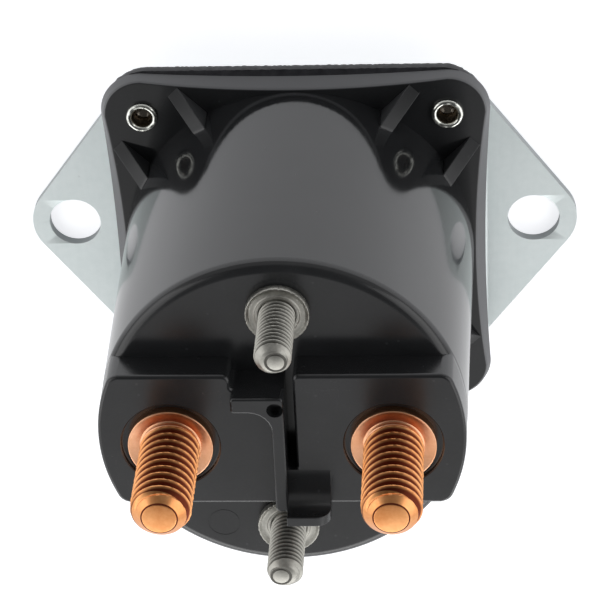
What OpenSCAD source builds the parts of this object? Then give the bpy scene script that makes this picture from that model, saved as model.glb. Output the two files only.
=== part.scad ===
// Four-terminal plunger relay: a moulded cup riveted to a stamped mounting plate.
// Z points from the mounting plate to the terminals, X runs along the two ear holes,
// and the origin is on the surface that the ears stand on, under the body's axis.

/* [Mounting plate] */
// Distance from the foot of the plate's step to an ear hole's centre
ear_reach = 7.1; // [6:0.1:9]
// Diameter of an ear hole
hole_d = 7.7; // [6:0.1:9]
// Radius of an ear's rounded end
ear_r = 6.4; // [5.6:0.1:8]
// Angle between an ear's straight side and the line of the holes
ear_angle = 53; // [50:1:56]
// Thickness of the steel sheet
plate_t = 1.5; // [1.2:0.1:2]
// Height of the raised centre over the ears
plate_raise = 4.2; // [3:0.1:6]
// Length of the step between an ear and the raised centre
joggle_run = 1.6; // [1.4:0.1:1.8]

/* [Flange and gasket] */
// How far the square flange stands out past the body's terminal end
flange_margin = 3.5; // [3:0.1:5]
// Thickness of the moulded flange
flange_t = 1.6; // [1.2:0.1:3]
// How far the flange's sides curve in at their middle
flange_dip = 1.8; // [0.8:0.1:2]
// Thickness of the gasket
gasket_t = 1.2; // [0.8:0.1:2]
// How far the gasket's left and right sides stay inside the flange's corners
gasket_inset = 0.8; // [0:0.1:1.5]
// How far the gasket stands past the flange at its front and rear
gasket_overhang = 0.5; // [0:0.1:1.2]
// Distance from a rivet's centre to the flange's sides
rivet_edge = 6.1; // [5:0.1:6.6]
// Diameter of a rivet's shank
rivet_d = 3.2; // [2.6:0.1:3.6]
// Diameter of a rivet's rolled end
rivet_roll_d = 4.54; // [4.3:0.02:5]
// Diameter of a rivet's factory head
rivet_head_d = 5.2; // [4.6:0.1:5.3]
// Thickness of a rivet's factory head
rivet_head_t = 1.1; // [0.8:0.1:1.6]

/* [Housing] */
// Diameter of the moulded body at the terminal end
body_d = 48.8; // [48.4:0.1:49.4]
// Taper of the body's wall, in degrees
body_draft = 1.5; // [0.5:0.1:1.6]
// Height of the body from the flange's underside to the terminal face
body_h = 45.3; // [43:0.1:52]
// Thickness of the body's wall
wall_t = 2.4; // [1.8:0.1:2.5]
// Thickness of the terminal face
face_t = 3; // [2.4:0.1:4]
// Radius of the rim between the wall and the terminal face
rim_r = 1.3; // [0.5:0.1:1.8]
// Height of the terminal block over the terminal face
block_step = 4.6; // [3:0.1:7]
// Room between the terminal block and the control studs' washers
block_gap = 2.65; // [1.5:0.05:4]
// How far the terminal block sits behind the body's axis
block_offset = 0.25; // [0:0.05:0.5]

/* [Barrier and gussets] */
// Height of the barrier's rib and arm over the terminal block
rib_rise = 2; // [1:0.1:5]
// Height of the barrier's fin over the terminal block
fin_rise = 5; // [3:0.1:8]
// Thickness of the barrier's middle rib
barrier_t = 1.7; // [1.2:0.1:2.2]
// How far the middle rib stands beside the body's axis
barrier_shift = 0.25; // [0:0.05:0.6]
// Distance from the body's axis to the end of the barrier's arm and fin
barrier_reach = 6.3; // [5.5:0.1:6.8]
// Thickness of the barrier's arm
arm_t = 2.3; // [1.5:0.1:3]
// Depth of the notch in the block behind the arm
notch_depth = 2.3; // [2:0.1:4.5]
// Width of the channel between the rib and the other half of the block
channel_w = 1.2; // [0.8:0.1:1.6]
// Thickness of the barrier's fin
fin_t = 1.4; // [1.2:0.1:2.4]
// Radius between the fin and the block
fin_blend_r = 4.2; // [2:0.1:4.8]
// Radius inside the corner of the rib and the arm
arm_blend_r = 3; // [1:0.1:3.4]
// Thickness of a corner gusset
gusset_t = 2; // [0.8:0.1:2.6]
// Height of a corner gusset where it meets the wall
gusset_rise = 4.5; // [2:0.1:7]
// Distance between the middles of the two gussets at a corner
gusset_pitch = 12; // [10:0.1:13]

/* [Power studs] */
// Major diameter of a power stud's thread
power_d = 7.94; // [7:0.01:8.2]
// Pitch of a power stud's thread
power_pitch = 1.411; // [1.2:0.001:1.5]
// Distance from a power stud's centre line to the body's rim
power_inset = 9.7; // [9:0.1:10.4]
// How far the row of power studs sits behind the body's axis
power_row_offset = 1; // [0:0.1:1.4]
// Length of a power stud over the terminal block
power_len = 15.6; // [14:0.1:20]
// Diameter of a power stud's collar
power_collar_d = 11.3; // [10.6:0.1:12]
// Height of a power stud's collar over the terminal block
power_collar_rise = 0.45; // [0.3:0.05:1]
// Room between a collar and the rim of its shallow recess
recess_gap = 0.9; // [0.4:0.05:1.4]
// Depth of the shallow recess around a collar
recess_depth = 0.5; // [0.3:0.05:1]
// Diameter of the flat at a power stud's tip
power_tip_d = 4.5; // [3.6:0.1:5]
// Diameter of a fixed contact, which is the stud's inner head
contact_head_d = 11.6; // [10:0.1:12]
// Thickness of a fixed contact
contact_head_t = 2.5; // [2:0.1:3]

/* [Control studs] */
// Major diameter of a control stud's thread
control_d = 4.83; // [4.2:0.01:5]
// Pitch of a control stud's thread
control_pitch = 0.794; // [0.6:0.001:0.9]
// Distance from a control stud's centre line to the body's rim
control_inset = 7.2; // [6.4:0.1:8]
// Length of a control stud over the terminal face
control_len = 11.8; // [10:0.1:14]
// Diameter of the flat at a control stud's tip
control_tip_d = 2.3; // [1.8:0.1:2.8]
// Diameter of a control stud's washer
washer_d = 8.4; // [7.6:0.1:8.8]
// Height of a control stud's washer over the terminal face
washer_t = 1.4; // [1:0.1:2]
// Diameter of the shoulder in the middle of the washer
shoulder_d = 6; // [5.6:0.1:6.4]
// Diameter of a control stud's inner head
control_head_d = 7; // [6.4:0.1:7.4]
// Thickness of a control stud's inner head
control_head_t = 1.6; // [1.2:0.1:1.8]

/* [Coil and magnet] */
// Thickness of the steel yoke and its pole plate
yoke_t = 2.4; // [1.8:0.1:2.8]
// Width of the yoke's strip
yoke_w = 18; // [16:0.5:19]
// Room between the yoke's corners and the cup's wall
yoke_room = 0.1; // [0.05:0.05:1]
// Depth of the pole plate across the yoke's strip
pole_plate_w = 23; // [20:0.5:23.6]
// Room between the bobbin's end flanges and the yoke's legs
bobbin_room = 1; // [0.3:0.1:3]
// Thickness of the bobbin's walls and end flanges
bobbin_t = 1.2; // [0.8:0.1:1.6]
// How far the bobbin's end flanges stand out past the winding
winding_margin = 1.3; // [0.6:0.1:3]
// Thickness of the tape around the winding
tape_t = 0.3; // [0.2:0.05:0.5]
// Diameter of a coil lead's sleeve
lead_d = 1.2; // [0.8:0.1:1.4]

/* [Plunger and contacts] */
// Diameter of the plunger
plunger_d = 12.4; // [11:0.1:14]
// Travel of the plunger
travel = 3.2; // [2.6:0.1:3.6]
// Gap between the disc and the fixed contacts at rest
contact_gap = 2.1; // [1.6:0.1:2.5]
// Diameter of the rod
rod_d = 3.2; // [2.6:0.1:3.6]
// Length of the fixed pole core below the pole plate
core_len = 8.5; // [7:0.1:10]
// Room between the contact disc and the ribs in the cup
disc_room = 0.9; // [0.5:0.1:3]
// Thickness of the contact disc
disc_t = 2.4; // [1.6:0.1:2.6]
// Diameter of the insulating washers' flanges
insulator_d = 10.4; // [9:0.1:11]
// Thickness of the insulating washers' flanges
insulator_t = 0.8; // [0.6:0.1:1]
// Length of the contact spring at rest
contact_spring_len = 3.8; // [3.2:0.1:4.6]
// Outer diameter of the contact spring
contact_spring_d = 8.4; // [7:0.1:8.8]
// Outer diameter of the return spring
return_spring_d = 6.4; // [6:0.1:7]
// Thickness of the rubber cushion under the plunger
cushion_t = 1; // [0.6:0.1:1.6]

/* [Hidden] */
$fn = 96;

// One overrun for every cut
cut = 1;
// Clearance around the rivets, and between parts that are assembled loosely
loose = 0.1;
// Radial clearance of parts that slide
slide = 0.06;
// Gap left where a moving part meets its stop
stop_gap = 0.05;
// Gap between the spring seat and the pole core at rest
seat_gap = 0.5;

// Levels of the stack, from the ears' underside
z_pad = plate_raise;
z_pad_top = z_pad + plate_t;
z_flange = z_pad_top + gasket_t;
z_flange_top = z_flange + flange_t;
z_face = z_flange + body_h;
z_block = z_face + block_step;
z_ceiling = z_face - face_t;
z_yoke_top = z_pad_top + yoke_t;

// Levels of the contact parts, down from the fixed contacts
z_contact = z_ceiling - contact_head_t;
z_disc_top = z_contact - contact_gap;
z_disc = z_disc_top - disc_t;
z_insulator = z_disc - insulator_t;
seat_t = 0.8;
z_seat_top = z_insulator - contact_spring_len;
z_seat = z_seat_top - seat_t;
z_pole_top = z_seat - seat_gap;
z_pole = z_pole_top - yoke_t;

// Levels of the plunger
z_core = z_pole - core_len;
z_plunger_top = z_core - travel - stop_gap;
z_plunger = z_yoke_top + cushion_t + stop_gap;
clip_t = 0.6;
z_clip = z_disc_top + insulator_t;
rod_over = 0.4;
z_rod_top = z_clip + clip_t + rod_over;

// Places in the plan
body_r = body_d / 2;
flange_half = body_r + flange_margin;
rivet_xy = flange_half - rivet_edge;
corner_r = rivet_edge;
power_x = body_r - power_inset;
control_y = body_r - control_inset;
recess_d = power_collar_d + 2 * recess_gap;
block_w = 2 * (control_y - washer_d / 2 - block_gap);
body_run = body_h - flange_t - rim_r;
body_base_r = body_r + body_run * tan(body_draft);
bore_top_r = body_r - wall_t;
bore_r = bore_top_r + (z_ceiling - z_flange) * tan(body_draft);
block_front = -block_w / 2 + block_offset;
block_rear = block_w / 2 + block_offset;
rib_left = barrier_shift - barrier_t / 2;
rib_right = barrier_shift + barrier_t / 2;
arm_y = block_front + notch_depth;

// Plate outline and its step
joggle_slope = atan(plate_raise / joggle_run);
bend_shift = plate_t * tan(joggle_slope / 2);
head_room = 0.2;
pad_side = 3.5;
pad_x = rivet_xy + rivet_head_d / 2 + head_room + bend_shift;
pad_y = rivet_xy + pad_side;
pad_corner_r = 3;
joggle_out = pad_x + joggle_run;
hole_x = joggle_out + ear_reach;
ear_tip = hole_x + ear_r;

// Stud threads
flat_share = 0.125;
thread_depth_share = 0.6;
lead_in_share = 0.35;
pitch_line_share = 0.65;
neck_over = 0.15;
power_shank_d = power_d - pitch_line_share * power_pitch;
control_shank_d = control_d - pitch_line_share * control_pitch;

// Rivet details
rivet_bore_share = 0.8;
rivet_bore_depth = 2.4;
roll_r = rivet_roll_d / 2;
roll_tube_r = 0.38;

// Barrier details
fin_corner_r = 2;
pin_r = 1.05;
pin_depth = 0.4;
pin_share = 0.8;

// Details of the inner parts
tube_t = 0.35;
plunger_r = plunger_d / 2;
tube_in_r = plunger_r + slide;
tube_out_r = tube_in_r + tube_t;
bobbin_in_r = tube_out_r + loose;
rod_r = rod_d / 2;
rod_bore_r = rod_r + slide;
hub_wall = 1.2;
hub_r = rod_bore_r + hub_wall;
spring_wire = 0.7;
pocket_r = return_spring_d / 2 + 0.5 * spring_wire;
pocket_depth = 3;
seat_d = contact_spring_d + 2 * loose;
clip_d = 7.6;
core_head_t = seat_gap / 2;
core_head_extra = 1.2;
rod_pocket_r = 5;
pocket_gap = 0.8;
z_rod_pocket = z_rod_top + travel + pocket_gap;
rib_t = 2;
rib_reach = 2.6;
leg_out_x = sqrt(pow(bore_top_r - yoke_room, 2) - pow(yoke_w / 2, 2));
yoke_gap = 2 * (leg_out_x - yoke_t);
bobbin_d = yoke_gap - 2 * bobbin_room;
winding_d = bobbin_d - 2 * winding_margin;
disc_d = 2 * (bore_top_r - rib_reach - disc_room);
rib_angle = atan2(pole_plate_w / 2, yoke_gap / 2);
cushion_share = 0.85;
lead_room = 1.4;
lead_reach = bore_top_r - lead_room - lead_d / 2;
rod_seat_share = 0.6;
rod_seat_depth = rod_seat_share * (z_plunger_top - pocket_depth - z_plunger);

// Removes a square corner of radius r at the inside of an L, seen from its corner point
module inside_fillet(r) {
    difference() {
        square(r);
        translate([r, r]) circle(r);
    }
}

// A square with round corners around the origin
module round_square(half_x, half_y, r) {
    union() {
        square([2 * half_x - 2 * r, 2 * half_y], center = true);
        square([2 * half_x, 2 * half_y - 2 * r], center = true);
        for (sx = [-1, 1], sy = [-1, 1])
            translate([sx * (half_x - r), sy * (half_y - r)]) circle(r);
    }
}

// Repeats a child at the four rivets
module at_rivets() {
    for (sx = [-1, 1], sy = [-1, 1])
        translate([sx * rivet_xy, sy * rivet_xy, 0]) children();
}

// A tube between two levels
module tube(r_out, r_in, z0, z1) {
    difference() {
        translate([0, 0, z0]) cylinder(r = r_out, h = z1 - z0);
        translate([0, 0, z0 - cut]) cylinder(r = r_in, h = z1 - z0 + 2 * cut);
    }
}

// Plan of one ear, on the +X side, from inside the pad to the round end
module ear_plan() {
    tangent_x = hole_x + ear_r * sin(ear_angle);
    tangent_y = ear_r * cos(ear_angle);
    root_x = pad_x - pad_corner_r;
    root_y = tangent_y + (tangent_x - pad_x) * tan(ear_angle);
    polygon([
        [root_x, -root_y], [pad_x, -root_y], [tangent_x, -tangent_y],
        [hole_x, 0],
        [tangent_x, tangent_y], [pad_x, root_y], [root_x, root_y]
    ]);
    translate([hole_x, 0]) circle(ear_r);
}

// Side view of the plate: ears low, centre raised
module plate_profile() {
    upper = [[ear_tip, plate_t], [joggle_out, plate_t], [pad_x, z_pad_top],
        [-pad_x, z_pad_top], [-joggle_out, plate_t], [-ear_tip, plate_t]];
    lower = [[-ear_tip, 0], [-joggle_out + bend_shift, 0], [-pad_x + bend_shift, z_pad],
        [pad_x - bend_shift, z_pad], [joggle_out - bend_shift, 0], [ear_tip, 0]];
    polygon(concat(upper, lower));
}

// Stamped steel plate with two ears and a raised centre
module mounting_plate() {
    color("lightsteelblue")
    difference() {
        intersection() {
            linear_extrude(z_pad_top + cut) {
                round_square(pad_x, pad_y, pad_corner_r);
                ear_plan();
                mirror([1, 0]) ear_plan();
            }
            translate([0, pad_y + cut, 0]) rotate([90, 0, 0])
                linear_extrude(2 * pad_y + 2 * cut) plate_profile();
        }
        for (side = [-1, 1])
            translate([side * hole_x, 0, -cut]) cylinder(d = hole_d, h = plate_t + 2 * cut);
        at_rivets() translate([0, 0, z_pad - cut]) cylinder(d = rivet_d + 2 * loose, h = plate_t + 2 * cut);
    }
}

// Flat gasket between the plate and the flange, open around the coil
module gasket() {
    color("dimgray")
    difference() {
        translate([0, 0, z_pad_top]) linear_extrude(gasket_t)
            round_square(flange_half - gasket_inset, flange_half + gasket_overhang, corner_r);
        translate([0, 0, z_pad_top - cut]) cylinder(r = bore_r, h = gasket_t + 2 * cut);
        at_rivets() translate([0, 0, z_pad_top - cut])
            cylinder(d = rivet_d + 2 * loose, h = gasket_t + 2 * cut);
    }
}

// Flange plan: a square with round corners and sides that curve in
module flange_plan() {
    dip_r = (pow(rivet_xy, 2) + pow(flange_dip, 2)) / (2 * flange_dip);
    difference() {
        round_square(flange_half, flange_half, corner_r);
        for (turn = [0, 90, 180, 270])
            rotate(turn) translate([0, flange_half - flange_dip + dip_r]) circle(dip_r, $fn = 720);
    }
}

// Outer shape of the cup, as a half section
module cup_section() {
    polygon([
        [0, z_flange], [body_base_r, z_flange], [body_base_r, z_flange_top],
        [body_r, z_face - rim_r], [body_r - rim_r, z_face - rim_r],
        [body_r - rim_r, z_face], [0, z_face]
    ]);
    translate([body_r - rim_r, z_face - rim_r]) intersection() {
        circle(rim_r);
        square(rim_r);
    }
}

// Hollow of the cup, as a half section
module cavity_section() {
    polygon([
        [0, z_flange - cut], [bore_r, z_flange - cut], [bore_r, z_flange],
        [bore_top_r, z_ceiling], [0, z_ceiling]
    ]);
}

// Plan of the terminal block, notched behind the arm and parted from the rib by a channel
module block_plan() {
    difference() {
        intersection() {
            circle(body_r);
            translate([-body_r, block_front]) square([2 * body_r, block_w]);
        }
        block_cutout_plan();
    }
}

// Plan of the notch and the channel
module block_cutout_plan() {
    translate([rib_left - channel_w, block_front - cut])
        square([barrier_reach + channel_w - rib_left, notch_depth + cut]);
    translate([rib_left - channel_w, arm_y - cut])
        square([channel_w, block_rear - fin_t - fin_blend_r - arm_y + cut]);
}

// Plan of the barrier's rib and arm
module barrier_plan() {
    translate([rib_left, arm_y]) square([barrier_t, block_rear - arm_y]);
    translate([rib_left, arm_y]) square([barrier_reach - rib_left, arm_t]);
    translate([rib_right, arm_y + arm_t]) inside_fillet(arm_blend_r);
}

// Tall fin at the rear end of the rib, blended into the block's top
module barrier_fin() {
    fin_top = z_block + fin_rise;
    fin_y = block_rear - fin_t;
    intersection() {
        translate([-barrier_reach, 0, 0]) rotate([90, 0, 90]) linear_extrude(barrier_reach + rib_right) {
            translate([fin_y, z_face]) square([fin_t, fin_top - z_face]);
            translate([fin_y, z_block]) mirror([1, 0]) inside_fillet(fin_blend_r);
        }
        translate([0, block_rear + cut, 0]) rotate([90, 0, 0])
            linear_extrude(fin_t + fin_blend_r + 2 * cut) difference() {
                translate([-barrier_reach, z_face]) square([barrier_reach + rib_left, fin_top - z_face]);
                translate([-barrier_reach, fin_top]) mirror([0, 1]) inside_fillet(fin_corner_r);
            }
    }
}

// One gusset standing on the flange along the corner's diagonal, before it is turned
module gusset() {
    start = sqrt(2) * rivet_xy + corner_r - gusset_pitch / 2;
    foot = body_r - wall_t / 2;
    for (side = [-1, 1])
        translate([0, side * gusset_pitch / 2 + gusset_t / 2, 0]) rotate([90, 0, 0])
            linear_extrude(gusset_t) polygon([
                [foot, z_flange], [start - gusset_t / 4, z_flange],
                [start - gusset_t / 4, z_flange_top], [body_base_r - flange_t, z_flange_top + gusset_rise],
                [foot, z_flange_top + gusset_rise]
            ]);
}

// Everything that stands on the outside of the cup
module housing_outside() {
    translate([0, 0, z_flange]) linear_extrude(flange_t) flange_plan();
    rotate_extrude() cup_section();
    translate([0, 0, z_face]) linear_extrude(block_step) block_plan();
    translate([0, 0, z_face - rim_r]) linear_extrude(rim_r) intersection() {
        circle(body_r);
        translate([-body_r, block_front]) square([2 * body_r, block_w]);
    }
    translate([0, 0, z_face]) linear_extrude(block_step + rib_rise) barrier_plan();
    barrier_fin();
    for (corner = [45, 135, 225, 315]) rotate(corner) gusset();
}

// Moulded cup with its flange, terminal block, barrier and gussets
module housing() {
    color("#2b2c2f")
    difference() {
        union() {
            difference() {
                housing_outside();
                rotate_extrude() cavity_section();
            }
            hold_down_ribs();
        }
        at_rivets() translate([0, 0, z_flange - cut])
            cylinder(d = rivet_d + 2 * loose, h = flange_t + 2 * cut);
        power_stud_holes();
        control_stud_holes();
        translate([0, 0, z_ceiling - cut]) cylinder(r = rod_pocket_r, h = z_rod_pocket - z_ceiling + cut);
        translate([rib_right - barrier_t / 3, arm_y + pin_share * arm_t, z_block + rib_rise - pin_depth])
            cylinder(r = pin_r, h = pin_depth + cut);
    }
}

// Ribs inside the cup that hold the pole plate's corners down
module hold_down_ribs() {
    intersection() {
        translate([0, 0, z_pole_top]) cylinder(r = bore_top_r + wall_t / 2, h = z_ceiling - z_pole_top);
        for (turn = [rib_angle, 180 - rib_angle, 180 + rib_angle, -rib_angle])
            rotate(turn) translate([bore_top_r - rib_reach, -rib_t / 2, z_pole_top])
                cube([rib_reach + wall_t / 2, rib_t, z_ceiling - z_pole_top]);
    }
}

// Holes and collar recesses for the power studs
module power_stud_holes() {
    for (side = [-1, 1]) translate([side * power_x, power_row_offset, 0]) {
        translate([0, 0, z_contact - cut]) cylinder(d = power_shank_d, h = z_block - z_contact + 2 * cut);
        translate([0, 0, z_block - recess_depth]) cylinder(d = recess_d, h = recess_depth + cut);
    }
}

// Holes for the control studs
module control_stud_holes() {
    for (side = [-1, 1]) translate([0, side * control_y, z_ceiling - cut])
        cylinder(d = control_shank_d, h = face_t + 2 * cut);
}

// Four tubular rivets, headed under the plate and rolled over on the flange
module rivets() {
    color("silver")
    at_rivets() difference() {
        union() {
            translate([0, 0, z_pad - rivet_head_t]) cylinder(d = rivet_head_d, h = rivet_head_t);
            translate([0, 0, z_pad - rivet_head_t])
                cylinder(d = rivet_d, h = z_flange_top + roll_tube_r - z_pad + rivet_head_t);
            translate([0, 0, z_flange_top]) cylinder(r = roll_r - roll_tube_r, h = roll_tube_r);
            translate([0, 0, z_flange_top + roll_tube_r]) rotate_extrude()
                translate([roll_r - roll_tube_r, 0]) circle(roll_tube_r, $fn = 32);
        }
        translate([0, 0, z_flange_top + roll_tube_r - rivet_bore_depth])
            cylinder(d = rivet_bore_share * rivet_d, h = rivet_bore_depth + cut);
    }
}

// Threaded shank from a plain lead-in to a chamfered tip, with every groove a V between crest flats
module threaded_shank(d, pitch, length, tip_d) {
    r = d / 2;
    depth = thread_depth_share * pitch;
    chamfer = min(r - tip_d / 2, pitch);
    start = lead_in_share * pitch;
    grooves = floor((length - start - chamfer) / pitch);
    groove_points = [for (i = [0 : grooves - 1], point = [
        [r, start + i * pitch],
        [r - depth, start + (i + (1 - flat_share) / 2) * pitch],
        [r, start + (i + 1 - flat_share) * pitch]]) point];
    rotate_extrude() polygon(concat(
        [[0, 0], [r, 0]], groove_points,
        [[r, length - chamfer], [tip_d / 2, length], [0, length]]));
}

// One power stud: fixed contact inside, dished collar and thread outside
module power_stud(side) {
    collar_r = power_collar_d / 2;
    collar_z = z_block - recess_depth;
    collar_h = recess_depth + power_collar_rise;
    collar_lip = 0.5 * power_collar_rise;
    thread_z = z_block + power_collar_rise + neck_over;
    color("#c87a43")
    translate([side * power_x, power_row_offset, 0]) {
        translate([0, 0, z_contact]) cylinder(d = contact_head_d, h = contact_head_t);
        translate([0, 0, z_contact]) cylinder(d = power_shank_d, h = thread_z - z_contact);
        translate([0, 0, collar_z]) rotate_extrude() polygon([
            [0, 0], [collar_r, 0], [collar_r, collar_h],
            [collar_r - collar_lip, collar_h],
            [power_shank_d / 2, collar_h - collar_lip], [0, collar_h - collar_lip]
        ]);
        translate([0, 0, thread_z])
            threaded_shank(power_d, power_pitch, z_block + power_len - thread_z, power_tip_d);
    }
}
module power_stud_left() { power_stud(-1); }
module power_stud_right() { power_stud(1); }

// One control stud: inner head for the coil lead, thread outside
module control_stud(side) {
    thread_z = z_face + washer_t + neck_over;
    color("#a9a8a0")
    translate([0, side * control_y, 0]) {
        translate([0, 0, z_ceiling - control_head_t]) cylinder(d = control_head_d, h = control_head_t);
        translate([0, 0, z_ceiling - control_head_t])
            cylinder(d = control_shank_d, h = thread_z - z_ceiling + control_head_t);
        translate([0, 0, thread_z])
            threaded_shank(control_d, control_pitch, z_face + control_len - thread_z, control_tip_d);
    }
}
module control_stud_front() { control_stud(-1); }
module control_stud_rear() { control_stud(1); }

// Dished steel washers that grip the control studs on the terminal face
module control_washers() {
    rim_t = 0.35 * washer_t;
    lip_w = 0.3 * washer_t;
    for (side = [-1, 1]) color("#b5b4ac")
        translate([0, side * control_y, z_face]) rotate_extrude() polygon([
            [control_d / 2, 0], [washer_d / 2 - lip_w, 0], [washer_d / 2, rim_t],
            [washer_d / 2, washer_t], [washer_d / 2 - lip_w / 2, washer_t],
            [washer_d / 2 - lip_w, washer_t - rim_t / 2],
            [shoulder_d / 2, washer_t - rim_t], [shoulder_d / 2 - lip_w / 2, washer_t],
            [control_d / 2, washer_t]
        ]);
}

// Steel strip bent to a U that carries the magnet's field
module yoke_frame() {
    leg_x = yoke_gap / 2;
    color("slategray")
    union() {
        translate([-leg_x - yoke_t, -yoke_w / 2, z_pad_top]) cube([2 * leg_x + 2 * yoke_t, yoke_w, yoke_t]);
        for (side = [0, 1]) mirror([side, 0, 0])
            translate([leg_x, -yoke_w / 2, z_pad_top]) cube([yoke_t, yoke_w, z_pole_top - z_pad_top]);
    }
}

// Steel plate across the top of the yoke, around the pole core
module pole_plate() {
    color("lightslategray")
    difference() {
        translate([-yoke_gap / 2, -pole_plate_w / 2, z_pole]) cube([yoke_gap, pole_plate_w, yoke_t]);
        translate([0, 0, z_pole - cut]) cylinder(r = tube_in_r - loose, h = yoke_t + 2 * cut);
    }
}

// Fixed core that the plunger is pulled to, bored for the rod and its spring
module pole_core() {
    core_r = tube_in_r - loose;
    color("gray")
    difference() {
        union() {
            translate([0, 0, z_core]) cylinder(r = core_r, h = z_pole_top - z_core);
            translate([0, 0, z_pole_top]) cylinder(r = core_r + core_head_extra, h = core_head_t);
        }
        translate([0, 0, z_core - cut]) cylinder(r = rod_bore_r, h = z_pole_top - z_core + core_head_t + 2 * cut);
        translate([0, 0, z_core - cut]) cylinder(r = pocket_r, h = pocket_depth + cut);
    }
}

// Brass tube that guides the plunger through the bobbin
module guide_tube() {
    color("darkkhaki") tube(tube_out_r, tube_in_r, z_yoke_top, z_pole);
}

// Spool that carries the winding
module bobbin() {
    color("ivory")
    union() {
        tube(bobbin_in_r + bobbin_t, bobbin_in_r, z_yoke_top, z_pole);
        tube(bobbin_d / 2, bobbin_in_r, z_yoke_top, z_yoke_top + bobbin_t);
        tube(bobbin_d / 2, bobbin_in_r, z_pole - bobbin_t, z_pole);
    }
}

// Wound copper wire, as one solid
module coil_winding() {
    color("peru")
    tube(winding_d / 2, bobbin_in_r + bobbin_t, z_yoke_top + bobbin_t, z_pole - bobbin_t);
}

// Tape around the winding
module coil_tape() {
    color("goldenrod")
    tube(winding_d / 2 + tape_t, winding_d / 2, z_yoke_top + bobbin_t, z_pole - bobbin_t);
}

// A sleeved lead from the winding out and up to a control stud
module coil_lead(side) {
    lead_r = lead_d / 2;
    exit_z = z_pole - bobbin_t - lead_d;
    start = winding_d / 2 + tape_t;
    top = z_ceiling - control_head_t;
    color("firebrick")
    translate([0, 0, exit_z]) rotate([0, 0, side * 90]) {
        translate([start, 0, 0]) rotate([0, 90, 0]) cylinder(r = lead_r, h = lead_reach - start);
        translate([lead_reach, 0, 0]) sphere(lead_r);
        translate([lead_reach, 0, 0]) cylinder(r = lead_r, h = top - exit_z);
    }
}
module coil_lead_front() { coil_lead(-1); }
module coil_lead_rear() { coil_lead(1); }

// Rubber disc that the plunger drops on
module cushion_disc() {
    color("black")
    translate([0, 0, z_yoke_top]) cylinder(r = cushion_share * plunger_r, h = cushion_t);
}

// Soft iron plunger with a pocket for the return spring
module plunger() {
    color("darkgray")
    difference() {
        translate([0, 0, z_plunger]) cylinder(r = plunger_r, h = z_plunger_top - z_plunger);
        translate([0, 0, z_plunger_top - pocket_depth]) cylinder(r = pocket_r, h = pocket_depth + cut);
        translate([0, 0, z_plunger_top - pocket_depth - rod_seat_depth])
            cylinder(r = rod_r, h = rod_seat_depth + cut);
    }
}

// Rod that carries the contact disc
module plunger_rod() {
    color("gainsboro")
    translate([0, 0, z_plunger_top - pocket_depth - rod_seat_depth])
        cylinder(r = rod_r, h = z_rod_top - z_plunger_top + pocket_depth + rod_seat_depth);
}

// Collar pressed on the rod under the contact spring
module spring_seat() {
    color("darkgoldenrod") tube(seat_d / 2, rod_r, z_seat, z_seat_top);
}

// Spring that pushes the plunger back, in the pockets of the plunger and the core
module return_spring() {
    color("silver")
    tube(return_spring_d / 2, return_spring_d / 2 - spring_wire,
        z_plunger_top - pocket_depth, z_core + pocket_depth);
}

// Spring that presses the disc on the fixed contacts
module contact_spring() {
    color("silver")
    tube(contact_spring_d / 2, contact_spring_d / 2 - spring_wire, z_seat_top, z_insulator);
}

// Clip in the rod's end over the contact disc
module retaining_clip() {
    color("dimgray") tube(clip_d / 2, rod_r, z_clip, z_clip + clip_t);
}

// Copper disc that bridges the two power studs
module contact_disc() {
    color("#c87a43") tube(disc_d / 2, hub_r, z_disc, z_disc_top);
}

// Insulating washer with a hub, under the disc
module insulator_lower() {
    color("wheat") {
        tube(insulator_d / 2, rod_bore_r, z_insulator, z_disc);
        tube(hub_r, rod_bore_r, z_insulator, z_disc_top);
    }
}

// Insulating washer over the disc
module insulator_upper() {
    color("wheat") tube(insulator_d / 2, rod_bore_r, z_disc_top, z_disc_top + insulator_t);
}

mounting_plate();
gasket();
housing();
rivets();
power_stud_left();
power_stud_right();
control_stud_front();
control_stud_rear();
control_washers();
yoke_frame();
pole_plate();
pole_core();
guide_tube();
bobbin();
coil_winding();
coil_tape();
coil_lead_front();
coil_lead_rear();
cushion_disc();
plunger();
plunger_rod();
spring_seat();
return_spring();
contact_spring();
retaining_clip();
contact_disc();
insulator_lower();
insulator_upper();
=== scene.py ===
import math

import bmesh
import bpy
from mathutils import Matrix, Vector, noise


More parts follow.
